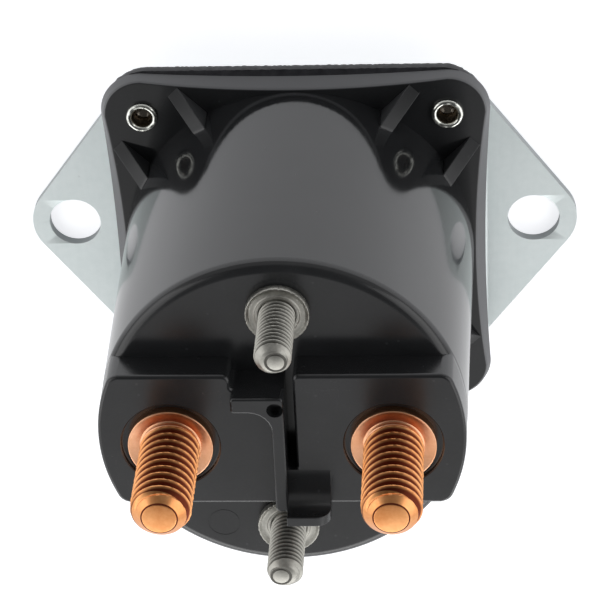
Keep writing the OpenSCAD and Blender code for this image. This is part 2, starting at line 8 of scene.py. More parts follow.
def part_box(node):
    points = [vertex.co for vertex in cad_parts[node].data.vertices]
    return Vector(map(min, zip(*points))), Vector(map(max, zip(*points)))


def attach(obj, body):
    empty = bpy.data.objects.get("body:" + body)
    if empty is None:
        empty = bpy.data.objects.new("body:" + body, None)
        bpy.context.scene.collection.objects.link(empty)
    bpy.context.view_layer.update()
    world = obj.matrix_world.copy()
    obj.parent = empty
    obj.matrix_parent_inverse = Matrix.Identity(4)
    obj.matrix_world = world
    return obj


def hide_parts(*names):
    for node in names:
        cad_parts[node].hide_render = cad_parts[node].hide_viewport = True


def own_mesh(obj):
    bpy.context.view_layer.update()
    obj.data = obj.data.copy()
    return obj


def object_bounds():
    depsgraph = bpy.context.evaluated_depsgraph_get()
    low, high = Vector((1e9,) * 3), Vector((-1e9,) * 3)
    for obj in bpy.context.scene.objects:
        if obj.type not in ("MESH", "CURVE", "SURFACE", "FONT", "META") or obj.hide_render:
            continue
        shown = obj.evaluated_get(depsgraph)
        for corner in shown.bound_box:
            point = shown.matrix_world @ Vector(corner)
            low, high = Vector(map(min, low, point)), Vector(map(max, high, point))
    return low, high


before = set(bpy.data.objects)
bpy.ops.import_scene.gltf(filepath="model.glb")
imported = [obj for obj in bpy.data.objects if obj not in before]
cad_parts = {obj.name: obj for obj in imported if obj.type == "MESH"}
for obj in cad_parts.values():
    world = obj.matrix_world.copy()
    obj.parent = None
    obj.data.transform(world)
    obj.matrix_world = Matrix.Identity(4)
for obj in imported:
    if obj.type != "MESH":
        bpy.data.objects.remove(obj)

cad_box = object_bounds()


# Studio
# A white table under the relay and a white room around it, with soft lights at both sides and behind. The
# camera looks down on the terminals, upside down, through a long lens.
scene = bpy.context.scene
scene.view_settings.view_transform = "Standard"
mm = 0.001
picture_width = 600
focal_pixels = 2522

# The camera's turn and offset were fitted to the edges of the real relay, as seen from above its terminals.
camera_turn = (
    Matrix.Rotation(math.radians(2.92), 3, "Z")
    @ Matrix.Rotation(math.radians(33.07), 3, "X")
    @ Matrix.Rotation(math.radians(-4.58), 3, "Y")
    @ Matrix.Diagonal((-1, -1, 1))
)
turn_back = camera_turn.transposed()
camera_offset = Vector((0.54, 12.83, -378.26)) * mm
camera = bpy.data.objects.new("camera", bpy.data.cameras.new("camera"))
camera.data.sensor_width = 36
camera.data.lens = camera.data.sensor_width * focal_pixels / picture_width
camera.data.clip_start = 10 * mm
camera.matrix_world = Matrix.Translation(-(turn_back @ camera_offset)) @ turn_back.to_4x4()
scene.collection.objects.link(camera)
scene.camera = camera


relay_middle = Vector((0, 0, 0.03))


def soft_light(name, place, size, watts):
    """A rectangular lamp at place that shines on the relay."""
    lamp = bpy.data.objects.new(name, bpy.data.lights.new(name, "AREA"))
    lamp.data.shape = "RECTANGLE"
    lamp.data.size, lamp.data.size_y = size
    lamp.data.energy = watts
    lamp.location = place
    lamp.rotation_euler = (relay_middle - Vector(place)).to_track_quat("-Z", "Y").to_euler()
    scene.collection.objects.link(lamp)


soft_light("left_box", (1.0, 0.0, 0.70), (1.4, 1.0), 5.2)
soft_light("right_box", (-1.0, 0.0, 0.70), (1.4, 1.0), 5.2)
soft_light("back_box", (0.0, 1.0, 0.50), (1.7, 0.5), 6.0)


def add_node(tree, kind, inputs=None, **settings):
    """A node with its settings and inputs; an input may be a plain value or another node's output."""
    made = tree.nodes.new(kind)
    for name, value in settings.items():
        setattr(made, name, value)
    for name, value in (inputs or {}).items():
        if isinstance(value, bpy.types.NodeSocket):
            tree.links.new(value, made.inputs[name])
        else:
            made.inputs[name].default_value = value
    return made


def calculate(tree, operation, *values, clamp=False):
    """The result of one math node."""
    made = add_node(tree, "ShaderNodeMath", dict(enumerate(values)), operation=operation, use_clamp=clamp)
    return made.outputs[0]


def with_shares(tree, start, *parts):
    """A start plus a share of each pattern, from pairs of pattern and share."""
    for pattern, share in parts:
        start = calculate(tree, "ADD", start, calculate(tree, "MULTIPLY", pattern, share))
    return start


def ramp(tree, value, start, end, low=0.0, high=1.0, kind="SMOOTHSTEP"):
    """A value that goes from low at start to high at end, smoothly or in a LINEAR way, and stays there."""
    made = add_node(
        tree, "ShaderNodeMapRange",
        {"Value": value, "From Min": start, "From Max": end, "To Min": low, "To Max": high},
        interpolation_type=kind,
    )
    return made.outputs["Result"]


def object_place(tree):
    """The place of a surface point in the relay's own frame."""
    return add_node(tree, "ShaderNodeTexCoord").outputs["Object"]


def axes_of(tree, place):
    """The X, Y and Z of a place or a direction."""
    return add_node(tree, "ShaderNodeSeparateXYZ", {0: place}).outputs


# The room is white to the camera. To the relay it is bright at both sides and low behind, and dim above.
world = bpy.data.worlds.new("studio_room")
world.use_nodes = True
room = world.node_tree
room.nodes.clear()
outward = axes_of(room, add_node(room, "ShaderNodeTexCoord").outputs["Generated"])
sideways = calculate(room, "ABSOLUTE", outward["X"])
dimmest = 0.07
room_light = dimmest

# Each row: a direction, where the glow starts and is full along it, the height at which it fades, and its strength.
glows = (
    (sideways, (0.45, 0.85), (0.45, 0.80), 0.60),
    (outward["Y"], (0.05, 0.45), (0.78, 0.99), 0.85),
    (outward["Y"], (-0.35, -0.65), (0.45, 0.72), 0.45),
)
for direction, reach, fading, strength in glows:
    share = calculate(
        room, "MULTIPLY", ramp(room, direction, *reach), ramp(room, outward["Z"], *fading, 1.0, 0.0)
    )
    room_light = calculate(room, "MAXIMUM", room_light, calculate(room, "MULTIPLY", share, strength))
seen = add_node(room, "ShaderNodeLightPath").outputs
shown = add_node(room, "ShaderNodeMix", {"Factor": seen["Is Camera Ray"], "A": room_light, "B": 1.0})
background = add_node(
    room, "ShaderNodeBackground", {"Color": (1.0, 1.0, 1.0, 1.0), "Strength": shown.outputs["Result"]}
)
add_node(room, "ShaderNodeOutputWorld", {"Surface": background.outputs[0]})
scene.world = world

# The table is one flat sheet at the height of the plate's ears. It is pale to the camera, and in mirrored light it
# is brighter on the camera's side of the relay than behind it; the dimmer glow behind is painted shadow of the relay.
table_half = 3.0
table_low = cad_box[0].z - 0.02 * mm
camera_glow = 0.78
near_glow, painted_shadow_glow = 0.86, 0.48
table_mesh = bpy.data.meshes.new("table_top")
table_mesh.from_pydata(
    [(x * table_half, y * table_half, table_low) for x, y in ((-1, -1), (1, -1), (1, 1), (-1, 1))],
    [],
    [(0, 1, 2, 3)],
)
table_top = bpy.data.objects.new("table_top", table_mesh)
scene.collection.objects.link(table_top)
table_finish = bpy.data.materials.new("white_table")
table_finish.use_nodes = True
tree = table_finish.node_tree
tree.nodes.clear()
seen = add_node(tree, "ShaderNodeLightPath").outputs
mirrored = calculate(tree, "ADD", seen["Is Glossy Ray"], seen["Is Transmission Ray"], clamp=True)
table_place = axes_of(tree, object_place(tree))
# Painted shadow: the glow that mirrored rays see dims from the camera's side to behind the relay.
mirror_strength = ramp(tree, table_place["Y"], -30 * mm, 12 * mm, near_glow, painted_shadow_glow)
mirrored_glow = calculate(tree, "MULTIPLY", mirrored, mirror_strength)
glow_strength = with_shares(tree, mirrored_glow, (seen["Is Camera Ray"], camera_glow))
paper = add_node(tree, "ShaderNodeBsdfDiffuse", {"Color": (0.60, 0.60, 0.60, 1)})
glow = add_node(tree, "ShaderNodeEmission", {"Color": (0.955, 0.968, 1, 1), "Strength": glow_strength})
both = add_node(tree, "ShaderNodeAddShader", {0: paper.outputs[0], 1: glow.outputs[0]})
add_node(tree, "ShaderNodeOutputMaterial", {"Surface": both.outputs[0]})
table_mesh.materials.append(table_finish)


# Housing
# A cup of black phenolic, moulded in one piece with its square flange, corner gussets, terminal block and
# Z-shaped barrier. It is glossy, with small radii on its outer edges and a little mottling on its flat faces.
def revolve(profile, segments, closed=False):
    """A closed solid turned around Z from (radius, height) points in mm; a point at radius 0 is a pole."""
    bm = bmesh.new()
    rings = []
    for radius, height in profile:
        turns = [math.tau * i / segments for i in range(segments if radius > 0 else 1)]
        rings.append([bm.verts.new((radius * math.cos(turn), radius * math.sin(turn), height)) for turn in turns])
    steps = list(zip(rings, rings[1:]))
    if closed:
        steps.append((rings[-1], rings[0]))
    for low, high in steps:
        for i in range(segments):
            corners = [low[i % len(low)], low[(i + 1) % len(low)], high[(i + 1) % len(high)], high[i % len(high)]]
            corners = list(dict.fromkeys(corners))
            if len(corners) > 2:
                bm.faces.new(corners)
    bmesh.ops.recalc_face_normals(bm, faces=bm.faces)
    return bm


def arc(centre, radius, start, end, count):
    """Points of an arc in the plan, angles in degrees."""
    turns = [math.radians(start + (end - start) * i / count) for i in range(count + 1)]
    return [(centre[0] + radius * math.cos(turn), centre[1] + radius * math.sin(turn)) for turn in turns]


def rounded(points, radii):
    """A plan polygon whose corners are rounded, each by its own radius."""
    corner_steps = 6
    made = []
    for i, (corner, radius) in enumerate(zip(points, radii)):
        here = Vector(corner)
        if radius <= 0:
            made.append(tuple(here))
            continue
        before = (Vector(points[i - 1]) - here).normalized()
        after = (Vector(points[(i + 1) % len(points)]) - here).normalized()
        half = before.angle(after) / 2
        reach = radius / math.tan(half)
        centre = here + (before + after).normalized() * (radius / math.sin(half))
        first = here + before * reach - centre
        last = here + after * reach - centre
        sweep = first.angle_signed(last)
        for step in range(corner_steps + 1):
            turn = -sweep * step / corner_steps
            made.append(tuple(centre + Matrix.Rotation(turn, 2) @ first))
    return made


def band(bm, low, high):
    """A band of faces between two closed rings of points."""
    for i in range(len(low)):
        bm.faces.new((low[i - 1], low[i], high[i], high[i - 1]))


def slab(outline, low, high, edge=0.0, steps=3, foot=None):
    """A plan outline raised from low to high in mm, its upper edge rounded by edge; foot is a wider lower outline."""
    bm = bmesh.new()
    base = [bm.verts.new((x, y, low)) for x, y in foot or outline]
    top = [bm.verts.new((x, y, high)) for x, y in outline]
    bm.faces.new(base)
    bm.faces.new(top)
    band(bm, base, top)
    bmesh.ops.recalc_face_normals(bm, faces=bm.faces)
    if edge > 0:
        rim = [e for e in bm.edges if all(abs(v.co.z - high) < 1e-4 for v in e.verts)]
        bmesh.ops.bevel(bm, geom=rim, offset=edge, segments=steps, profile=0.5, affect="EDGES", clamp_overlap=True)
    return bm


def stand_up(bm, axes):
    """Puts a flat slab's axes in another order, with its faces outwards again."""
    for v in bm.verts:
        v.co = Vector([v.co[axis] for axis in axes])
    bmesh.ops.recalc_face_normals(bm, faces=bm.faces)
    return bm


def put(bm, name, place=(0, 0), turn=0):
    """A new object from a bmesh in mm, turned round Z in degrees and then moved in the plan, all within its mesh."""
    bmesh.ops.rotate(bm, verts=bm.verts, matrix=Matrix.Rotation(math.radians(turn), 3, "Z"))
    bmesh.ops.translate(bm, verts=bm.verts, vec=(*place, 0))
    bmesh.ops.scale(bm, vec=(mm, mm, mm), verts=bm.verts)
    mesh = bpy.data.meshes.new(name)
    bm.to_mesh(mesh)
    bm.free()
    made = bpy.data.objects.new(name, mesh)
    scene.collection.objects.link(made)
    return made


def peg(name, radius, low, high, segments, place=(0, 0)):
    """A plain round solid that cuts a hole."""
    return put(revolve([(0, low), (radius, low), (radius, high), (0, high)], segments), name, place)


def settle(piece):
    """Turns a piece's live modifiers into a plain mesh."""
    depsgraph = bpy.context.evaluated_depsgraph_get()
    plain = bpy.data.meshes.new_from_object(piece.evaluated_get(depsgraph))
    piece.modifiers.clear()
    piece.data = plain
    plain.name = piece.name
    return piece


def combine(piece, others, operation):
    """Adds other solids to a piece or cuts them out of it, and removes them."""
    for other in others:
        tool = piece.modifiers.new("solid", "BOOLEAN")
        tool.object = other
        tool.operation = operation
        tool.solver = "EXACT"
        settle(piece)
        bpy.data.objects.remove(other)


def soften(piece, width, segments, angle):
    """Rounds the edges where a piece turns by more than angle in degrees, over a width in mm."""
    bevel = piece.modifiers.new("edges", "BEVEL")
    bevel.width = width * mm
    bevel.segments = segments
    bevel.limit_method = "ANGLE"
    bevel.angle_limit = math.radians(angle)
    settle(piece)


def shade(piece, angle, flat_faces=False):
    """Smooth shading with crisp edges above angle; flat_faces keeps large faces flat beside a rounded edge."""
    piece.data.shade_smooth()
    piece.data.set_sharp_from_angle(angle=math.radians(angle))
    if flat_faces:
        weighted = piece.modifiers.new("flat_faces", "WEIGHTED_NORMAL")
        weighted.weight = 50
        weighted.keep_sharp = True
        settle(piece)
    return piece


def box_of(node):
    """A CAD node's box in mm."""
    low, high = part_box(node)
    return low / mm, high / mm


housing_low, housing_high = box_of("housing")
power_low, power_high = box_of("power_stud_right")
flange_half = housing_high.x
flange_corner = 6.1
flange_t = 1.6
flange_ledge = 3.5
cup_wall_t = 2.4
cup_top_t = 3.0
rim_r = 1.6
base_blend = 0.2
draft = math.tan(math.radians(1.5))
power_stud_rise = 15.6
rivet_hole_r = 1.7
overrun = 1

flange_z = housing_low.z
flange_top = flange_z + flange_t
face_z = box_of("control_washers")[0].z
block_z = power_high.z - power_stud_rise
fin_z = housing_high.z
ceiling_z = face_z - cup_top_t
body_top_r = flange_half - flange_ledge
body_base_r = body_top_r + (face_z - rim_r - flange_top) * draft
bore_top_r = body_top_r - cup_wall_t
bore_r = bore_top_r + (ceiling_z - flange_z) * draft
rivet_half = flange_half - flange_corner
rivet_places = [(x, y) for x in (-rivet_half, rivet_half) for y in (-rivet_half, rivet_half)]
wall_profile = [
    (0, face_z),
    (body_top_r - rim_r, face_z),
    *arc((body_top_r - rim_r, face_z - rim_r), rim_r, 90, 0, 7)[1:],
    (body_base_r, flange_top + base_blend),
    (body_base_r, flange_z),
    (bore_r, flange_z),
    (bore_top_r, ceiling_z),
    (0, ceiling_z),
]
housing = put(revolve(wall_profile, 360), "housing_shell")


def flange_outline(dip, inset):
    """The square flange's plan: four round corners, and sides that curve in by dip between them."""
    dip_radius = (rivet_half**2 + (dip - inset) ** 2) / (2 * (dip - inset))
    dip_angle = math.degrees(math.asin(rivet_half / dip_radius))
    plan = []
    for turn in (0, 90, 180, 270):
        side = arc((0, flange_half - dip + dip_radius), dip_radius, -90 - dip_angle, -90 + dip_angle, 40)
        corner = arc((rivet_half, rivet_half), flange_corner - inset, 90, 0, 14)
        spin = Matrix.Rotation(math.radians(-turn), 2)
        plan += [tuple(spin @ Vector(p)) for p in (side[:-1] + corner)[:-1]]
    return plan


# The flange's edge slants in from the gasket side, most of all in the middle of each side.
flange_foot = flange_outline(0.75, 0.0)
flange = put(slab(flange_outline(2.05, 0.55), flange_z, flange_top, 0.3, foot=flange_foot), "flange")
flange_cuts = [peg("mouth", bore_r, flange_z - overrun, flange_top - 0.2, 360)]
flange_cuts += [
    peg("hole", rivet_hole_r, flange_z - overrun, flange_top + overrun, 48, place) for place in rivet_places
]
combine(flange, flange_cuts, "DIFFERENCE")

block_front, block_rear = -10.1, 10.6
block_r = body_top_r - 0.04
block_edge = 0.5
end_round = 1.8
channel_w = 1.2
rib_left, rib_right = -0.6, 1.1
rib_rise = 2
arm_y = -7.8
arm_t = 2.3
arm_blend = 3.0
barrier_reach = 6.3
barrier_edge = 0.3
fin_t = 1.4
fin_blend = 4.2
fin_corner = 2.0
root_depth = 0.6

rib_z = block_z + rib_rise
channel_x = rib_left - channel_w
fin_front = block_rear - fin_t
blend_y = fin_front - fin_blend
root_z = face_z - root_depth


def block_end(y):
    """A rounded corner of the block at y: its centre, and the direction in which it meets the round wall."""
    centre_y = y - math.copysign(end_round, y)
    centre_x = math.sqrt((block_r - end_round) ** 2 - centre_y**2)
    return (centre_x, centre_y), math.degrees(math.atan2(centre_y, centre_x))


front_centre, front_lean = block_end(block_front)
rear_centre, rear_lean = block_end(block_rear)
right_end = arc(front_centre, end_round, -90, front_lean, 6)
right_end += arc((0, 0), block_r, front_lean, rear_lean, 30)[1:-1]
right_end += arc(rear_centre, end_round, rear_lean, 90, 6)
left_end = [(-x, y) for x, y in reversed(right_end)]
notch = rounded(
    [
        (channel_x - 4, block_front),
        (channel_x, block_front),
        (channel_x, blend_y),
        (rib_left, blend_y),
        (rib_left, arm_y),
        (barrier_reach, arm_y),
        (barrier_reach, block_front),
        (barrier_reach + 4, block_front),
    ],
    [0, 0.8, 0.5, 0.5, 0, 0.6, 1.2, 0],
)[1:-1]
block_bm = slab(left_end + notch + right_end, face_z - rim_r - 0.15, block_z, block_edge, 4)
for v in block_bm.verts:
    lean_in = max(0, v.co.z - face_z) * draft
    if v.co.xy.length > block_r - 1:
        v.co.xy *= 1 - lean_in / block_r
block = put(block_bm, "block")

barrier_plan = rounded(
    [
        (rib_left, arm_y),
        (barrier_reach, arm_y),
        (barrier_reach, arm_y + arm_t),
        (rib_right, arm_y + arm_t),
        (rib_right, block_rear - 0.05),
        (rib_left, block_rear - 0.05),
    ],
    [0.5, 0.5, 0.5, arm_blend, 0.7, 0],
)
barrier = put(slab(barrier_plan, root_z, rib_z, barrier_edge), "barrier")

# The fin is drawn from the side, then a second solid rounds its free corner.
fin_side = [
    (block_rear, root_z),
    (block_rear, fin_z),
    (fin_front, fin_z),
    *arc((blend_y, block_z + fin_blend), fin_blend, 0, -90, 10),
    (blend_y, block_z - 0.5),
    (fin_front, root_z),
]
fin = put(stand_up(slab(fin_side, -barrier_reach, rib_left + 0.05), (2, 0, 1)), "fin")
window_plan = rounded(
    [(-barrier_reach, face_z - 2), (rib_left + 1, face_z - 2), (rib_left + 1, fin_z), (-barrier_reach, fin_z)],
    [0, 0, 0, fin_corner],
)
window = put(stand_up(slab(window_plan, 0, 14), (0, 2, 1)), "window")
combine(fin, [window], "INTERSECT")
soften(fin, barrier_edge, 3, 50)

gusset_half_t = 1.0
gusset_offset = 6
gusset_rise = 4.6
gusset_edge = 0.12
gusset_foot = body_top_r - 1.2
gusset_tip = math.sqrt(2) * rivet_half + flange_corner - 6.5
gusset_low = flange_z + 0.2
gusset_top = flange_top + gusset_rise
gusset_side = [
    (gusset_foot, gusset_low),
    (gusset_tip, gusset_low),
    (gusset_tip, flange_top),
    (body_base_r - 1.0, gusset_top),
    (gusset_foot, gusset_top),
]
gussets = []
for corner in (45, 135, 225, 315):
    for offset in (-gusset_offset, gusset_offset):
        gusset_bm = slab(gusset_side, -gusset_half_t, gusset_half_t)
        slope = [
            e for e in gusset_bm.edges
            if all(v.co.y > flange_top - 0.1 for v in e.verts) and abs(e.verts[0].co.z - e.verts[1].co.z) < 1e-6
        ]
        bmesh.ops.bevel(gusset_bm, geom=slope, offset=gusset_edge, segments=3, profile=0.5, affect="EDGES")
        stand_up(gusset_bm, (0, 2, 1))
        bmesh.ops.translate(gusset_bm, verts=gusset_bm.verts, vec=(0, offset, 0))
        gussets.append(put(gusset_bm, "gusset", turn=corner))

plate_corner = box_of("pole_plate")[1]
hold_in, hold_out = bore_top_r - 2.6, bore_top_r + 1.2
hold_plan = [(hold_in, -1), (hold_out, -1), (hold_out, 1), (hold_in, 1)]
hold_turn = math.degrees(math.atan2(plate_corner.y, plate_corner.x))
hold_down_ribs = [
    put(slab(hold_plan, plate_corner.z, ceiling_z + 0.5), "rib", turn=turn)
    for turn in (hold_turn, 180 - hold_turn, 180 + hold_turn, -hold_turn)
]
combine(housing, [flange, block, barrier, fin] + gussets + hold_down_ribs, "UNION")

power_x = (power_low.x + power_high.x) / 2
power_y = (power_low.y + power_high.y) / 2
recess_r = 6.55
recess_floor = block_z - 0.9
pin_r, pin_depth = 1.08, 1.4
pin_place = (0.52, -6.0)
ejector_place = (8.9, 17.34)
pocket_r, pocket_rise = 5, 1.2
recess_profile = [
    (0, recess_floor), (recess_r - 0.25, recess_floor), (recess_r, block_z - 0.7), (recess_r, block_z - 0.12),
    (recess_r + 0.14, block_z + 0.02), (recess_r + 0.14, block_z + overrun), (0, block_z + overrun),
]
ejector_profile = [
    (2.06, face_z - 0.04), (2.20, face_z - 0.04), (2.26, face_z + overrun), (2.0, face_z + overrun),
]
cuts = [put(revolve(recess_profile, 128), "recess", (side * power_x, power_y)) for side in (-1, 1)]
cuts += [
    peg("pin", pin_r, rib_z - pin_depth, rib_z + overrun, 40, pin_place),
    put(revolve(ejector_profile, 64, closed=True), "mark", ejector_place),
    peg("pocket", pocket_r, ceiling_z - overrun, ceiling_z + pocket_rise, 64),
]
combine(housing, cuts, "DIFFERENCE")
shade(housing, 40, flat_faces=True)


def group_tree(name, inputs, outputs):
    """An empty shader node group with named float inputs and outputs, and those inputs."""
    made = bpy.data.node_groups.new(name, "ShaderNodeTree")
    for socket_name, value in inputs.items():
        socket = made.interface.new_socket(socket_name, in_out="INPUT", socket_type="NodeSocketFloat")
        socket.default_value = value
    for socket_name in outputs:
        made.interface.new_socket(socket_name, in_out="OUTPUT", socket_type="NodeSocketFloat")
    return made, add_node(made, "NodeGroupInput").outputs


# Cloudy tone: a soft blotch pattern from 0 to 1, with finer grain mixed in.
cloud, inputs = group_tree("cloudy_tone", {"Scale": 100, "Grain Scale": 1500}, ["Value", "Grain"])
place = object_place(cloud)
blotch = add_node(cloud, "ShaderNodeTexNoise", {"Vector": place, "Scale": inputs["Scale"], "Detail": 4.0})
grain = add_node(cloud, "ShaderNodeTexNoise", {"Vector": place, "Scale": inputs["Grain Scale"], "Detail": 3.0})
grained = add_node(cloud, "ShaderNodeMix", {"Factor": 0.3, "A": blotch.outputs["Fac"], "B": grain.outputs["Fac"]})
spread = ramp(cloud, grained.outputs["Result"], 0.32, 0.68, kind="LINEAR")
add_node(cloud, "NodeGroupOutput", {"Value": spread, "Grain": grain.outputs["Fac"]})

# Fine marks: thin scratches in two directions and small specks, 1 on a mark and 0 off it.
marks, inputs = group_tree("fine_marks", {"Scale": 60, "Amount": 0.5, "Speck Scale": 900}, ["Scratch", "Speck"])
place = object_place(marks)
scratches = []
for turn, stretch in (((0.4, 0.2, 0.7), (1, 14, 5)), ((1.1, 0.5, -0.9), (16, 1, 6))):
    laid = add_node(marks, "ShaderNodeMapping", {"Vector": place, "Rotation": turn, "Scale": stretch})
    web = add_node(
        marks, "ShaderNodeTexNoise",
        {"Vector": laid.outputs[0], "Scale": inputs["Scale"], "Detail": 2.0, "Distortion": 0.3},
    )
    ridge = calculate(marks, "ABSOLUTE", calculate(marks, "SUBTRACT", web.outputs["Fac"], 0.5))
    scratches.append(ramp(marks, ridge, 0.0, 0.006, inputs["Amount"], 0.0, "LINEAR"))
dots = add_node(marks, "ShaderNodeTexVoronoi", {"Vector": place, "Scale": inputs["Speck Scale"]})
dot_tone = add_node(marks, "ShaderNodeSeparateColor", {"Color": dots.outputs["Color"]}).outputs["Red"]
speck = calculate(
    marks, "MULTIPLY", ramp(marks, dots.outputs["Distance"], 0.08, 0.16, 1.0, 0.0, "LINEAR"),
    calculate(marks, "GREATER_THAN", dot_tone, 0.86),
)
add_node(marks, "NodeGroupOutput", {"Scratch": calculate(marks, "MAXIMUM", *scratches), "Speck": speck})


def finish_named(name, **constants):
    """A material with one Principled shader, whose plain values are set on its own sockets."""
    made = bpy.data.materials.new(name)
    made.use_nodes = True
    shader = made.node_tree.nodes["Principled BSDF"]
    for socket_name, value in constants.items():
        shader.inputs[socket_name.replace("_", " ")].default_value = value
    return made, made.node_tree, shader


def placed(tree, group, **values):
    """The outputs of a shader group that is placed in a material with its own values."""
    made = add_node(tree, "ShaderNodeGroup", node_tree=group)
    for socket_name, value in values.items():
        made.inputs[socket_name.replace("_", " ")].default_value = value
    return made.outputs


def tint(tree, factor, first, second):
    """A colour between two, each a plain colour or another node's output."""
    first, second = [
        colour if isinstance(colour, bpy.types.NodeSocket) else (*colour, 1) for colour in (first, second)
    ]
    made = add_node(tree, "ShaderNodeMix", {"Factor": factor, "A": first, "B": second}, data_type="RGBA")
    return made.outputs["Result"]


def coat(tree, shader, colour, roughness, *parts):
    """Gives a shader its colour, and its roughness from a start and a share of each pattern."""
    tree.links.new(colour, shader.inputs["Base Color"])
    tree.links.new(with_shares(tree, roughness, *parts), shader.inputs["Roughness"])


def bump(tree, shader, height, strength, distance):
    """Raises a height pattern on the surface."""
    made = add_node(tree, "ShaderNodeBump", {"Height": height, "Strength": strength, "Distance": distance})
    tree.links.new(made.outputs["Normal"], shader.inputs["Normal"])


def away_from(tree, x, y):
    """The distance from a point in the plan, from how far off it lies in X and in Y."""
    squares = [calculate(tree, "POWER", calculate(tree, "ABSOLUTE", value), 2.0) for value in (x, y)]
    return calculate(tree, "SQRT", calculate(tree, "ADD", *squares))


phenolic, tree, shader = finish_named("black_phenolic", IOR=1.52)
mottle = placed(tree, cloud, Scale=170, Grain_Scale=2600)["Value"]
wear = placed(tree, marks, Scale=55, Amount=0.35, Speck_Scale=650)
at = axes_of(tree, object_place(tree))
below_flange_top = ramp(tree, at["Z"], (flange_top - 0.005) * mm, (flange_top - 0.07) * mm)
off_wall = ramp(tree, away_from(tree, at["X"], at["Y"]), (body_base_r - 0.1) * mm, (body_base_r + 0.3) * mm)
over_flange = ramp(tree, at["Z"], flange_top * mm, (flange_top + 0.2) * mm)
below_slope_end = ramp(tree, at["Z"], (flange_top + 7) * mm, (flange_top + 5) * mm)
on_gussets = calculate(tree, "MULTIPLY", off_wall, calculate(tree, "MULTIPLY", over_flange, below_slope_end))
on_terminals = ramp(tree, at["Z"], (face_z - 1.2) * mm, (face_z - 0.2) * mm)
black = tint(tree, mottle, (0.0165, 0.0172, 0.0185), (0.0225, 0.0233, 0.0250))
marked = tint(tree, calculate(tree, "MULTIPLY", wear["Speck"], 0.5), black, (0.05, 0.052, 0.055))
# Below the flange's top, on its side, and a little on the gussets, the black is mixed towards a light grey; these faces
# are rougher too.
grey_share = with_shares(tree, 0.0, (below_flange_top, 0.9), (on_gussets, 0.05))
greyed_black = tint(tree, grey_share, marked, (0.17, 0.173, 0.182))
coat(
    tree, shader, greyed_black, 0.07, (mottle, 0.04), (wear["Scratch"], 0.10), (below_flange_top, 0.36), (on_gussets, 0.40),
    (on_terminals, 0.14),
)
bump(tree, shader, mottle, 0.03, 0.02 * mm)
housing.data.materials.clear()
housing.data.materials.append(phenolic)
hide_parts("housing")
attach(housing, "relay_base")


# Mounting plate
# Sheet steel, stamped with two pointed ears and pressed up in the middle, then plated with bright zinc that has a
# cold blue tone. Where its surface faces sideways, on its sheared edges, it is coloured a darker grey, and the plating
# is clouded and lightly scratched.
plate_high = box_of("mounting_plate")[1]
plate_t = 1.5
plate_raise = plate_high.z - plate_t
ear_r = 6.4
ear_turn = 37
hole_r = 3.85
hole_x = plate_high.x - ear_r
pad_y = plate_high.y
pad_corner = 3.0
step_run = 1.6
step_low_x = hole_x - 7.1
step_top_x = step_low_x - step_run
bend_shift = plate_t * math.tan(math.atan2(plate_raise, step_run) / 2)


def fill_plan(bm, loops, z):
    """A flat triangulated face with holes from plan loops in mm; gives back the points of each loop."""
    rings = [[bm.verts.new((x, y, z)) for x, y in loop] for loop in loops]
    edges = [bm.edges.new((ring[i - 1], ring[i])) for ring in rings for i in range(len(ring))]
    bmesh.ops.triangle_fill(bm, edges=edges, use_beauty=True, use_dissolve=False)
    return rings


def circle(centre, radius, count):
    """A closed round loop in the plan."""
    return arc(centre, radius, 0, 360, count)[:-1]


rivet_loops = [circle(place, rivet_hole_r, 24) for place in rivet_places]
right_ear = arc((hole_x, 0), ear_r, -ear_turn, ear_turn, 14)
right_ear += arc((step_top_x - pad_corner, pad_y - pad_corner), pad_corner, 0, 90, 8)
lower_left = arc((-(step_top_x - pad_corner), pad_y - pad_corner), pad_corner, 90, 180, 8)
half_plan = right_ear + lower_left
plate_plan = half_plan + [(-x, -y) for x, y in half_plan]
ear_holes = [circle((side * hole_x, 0), hole_r, 72) for side in (-1, 1)]
plate_bm = bmesh.new()
fill_plan(plate_bm, [plate_plan] + ear_holes + rivet_loops, 0)
for bend_x in [step_top_x - bend_shift - 0.4 + 0.2 * i for i in range(19)]:
    for side in (-1, 1):
        bmesh.ops.bisect_plane(
            plate_bm, geom=plate_bm.verts[:] + plate_bm.edges[:] + plate_bm.faces[:],
            plane_co=(side * bend_x, 0, 0), plane_no=(1, 0, 0), dist=1e-5,
        )
raised = bmesh.ops.extrude_face_region(plate_bm, geom=plate_bm.faces[:])
upper = {v for v in raised["geom"] if isinstance(v, bmesh.types.BMVert)}
for v in plate_bm.verts:
    shift = 0 if v in upper else bend_shift
    across = (abs(v.co.x) + shift - step_top_x) / (step_low_x - step_top_x)
    fall = min(1, max(0, across))
    v.co.z = (plate_t if v in upper else 0) + plate_raise * (1 - fall)
bmesh.ops.recalc_face_normals(plate_bm, faces=plate_bm.faces)
plate = put(plate_bm, "plate_stamping")
soften(plate, 0.14, 2, 70)
shade(plate, 40, flat_faces=True)

zinc, tree, shader = finish_named("bright_zinc", Metallic=0.45, IOR=1.5)
clouding = placed(tree, cloud, Scale=70, Grain_Scale=900)["Value"]
wear = placed(tree, marks, Scale=70, Amount=0.6, Speck_Scale=420)
rolled = add_node(tree, "ShaderNodeMapping", {"Vector": object_place(tree), "Scale": (1.0, 0.06, 1.0)})
rolling = add_node(tree, "ShaderNodeTexNoise", {"Vector": rolled.outputs[0], "Scale": 1600.0, "Detail": 4.0})
tone = with_shares(tree, 0.0, (clouding, 0.65), (rolling.outputs["Fac"], 0.35))
facing = axes_of(tree, add_node(tree, "ShaderNodeNewGeometry").outputs["Normal"])
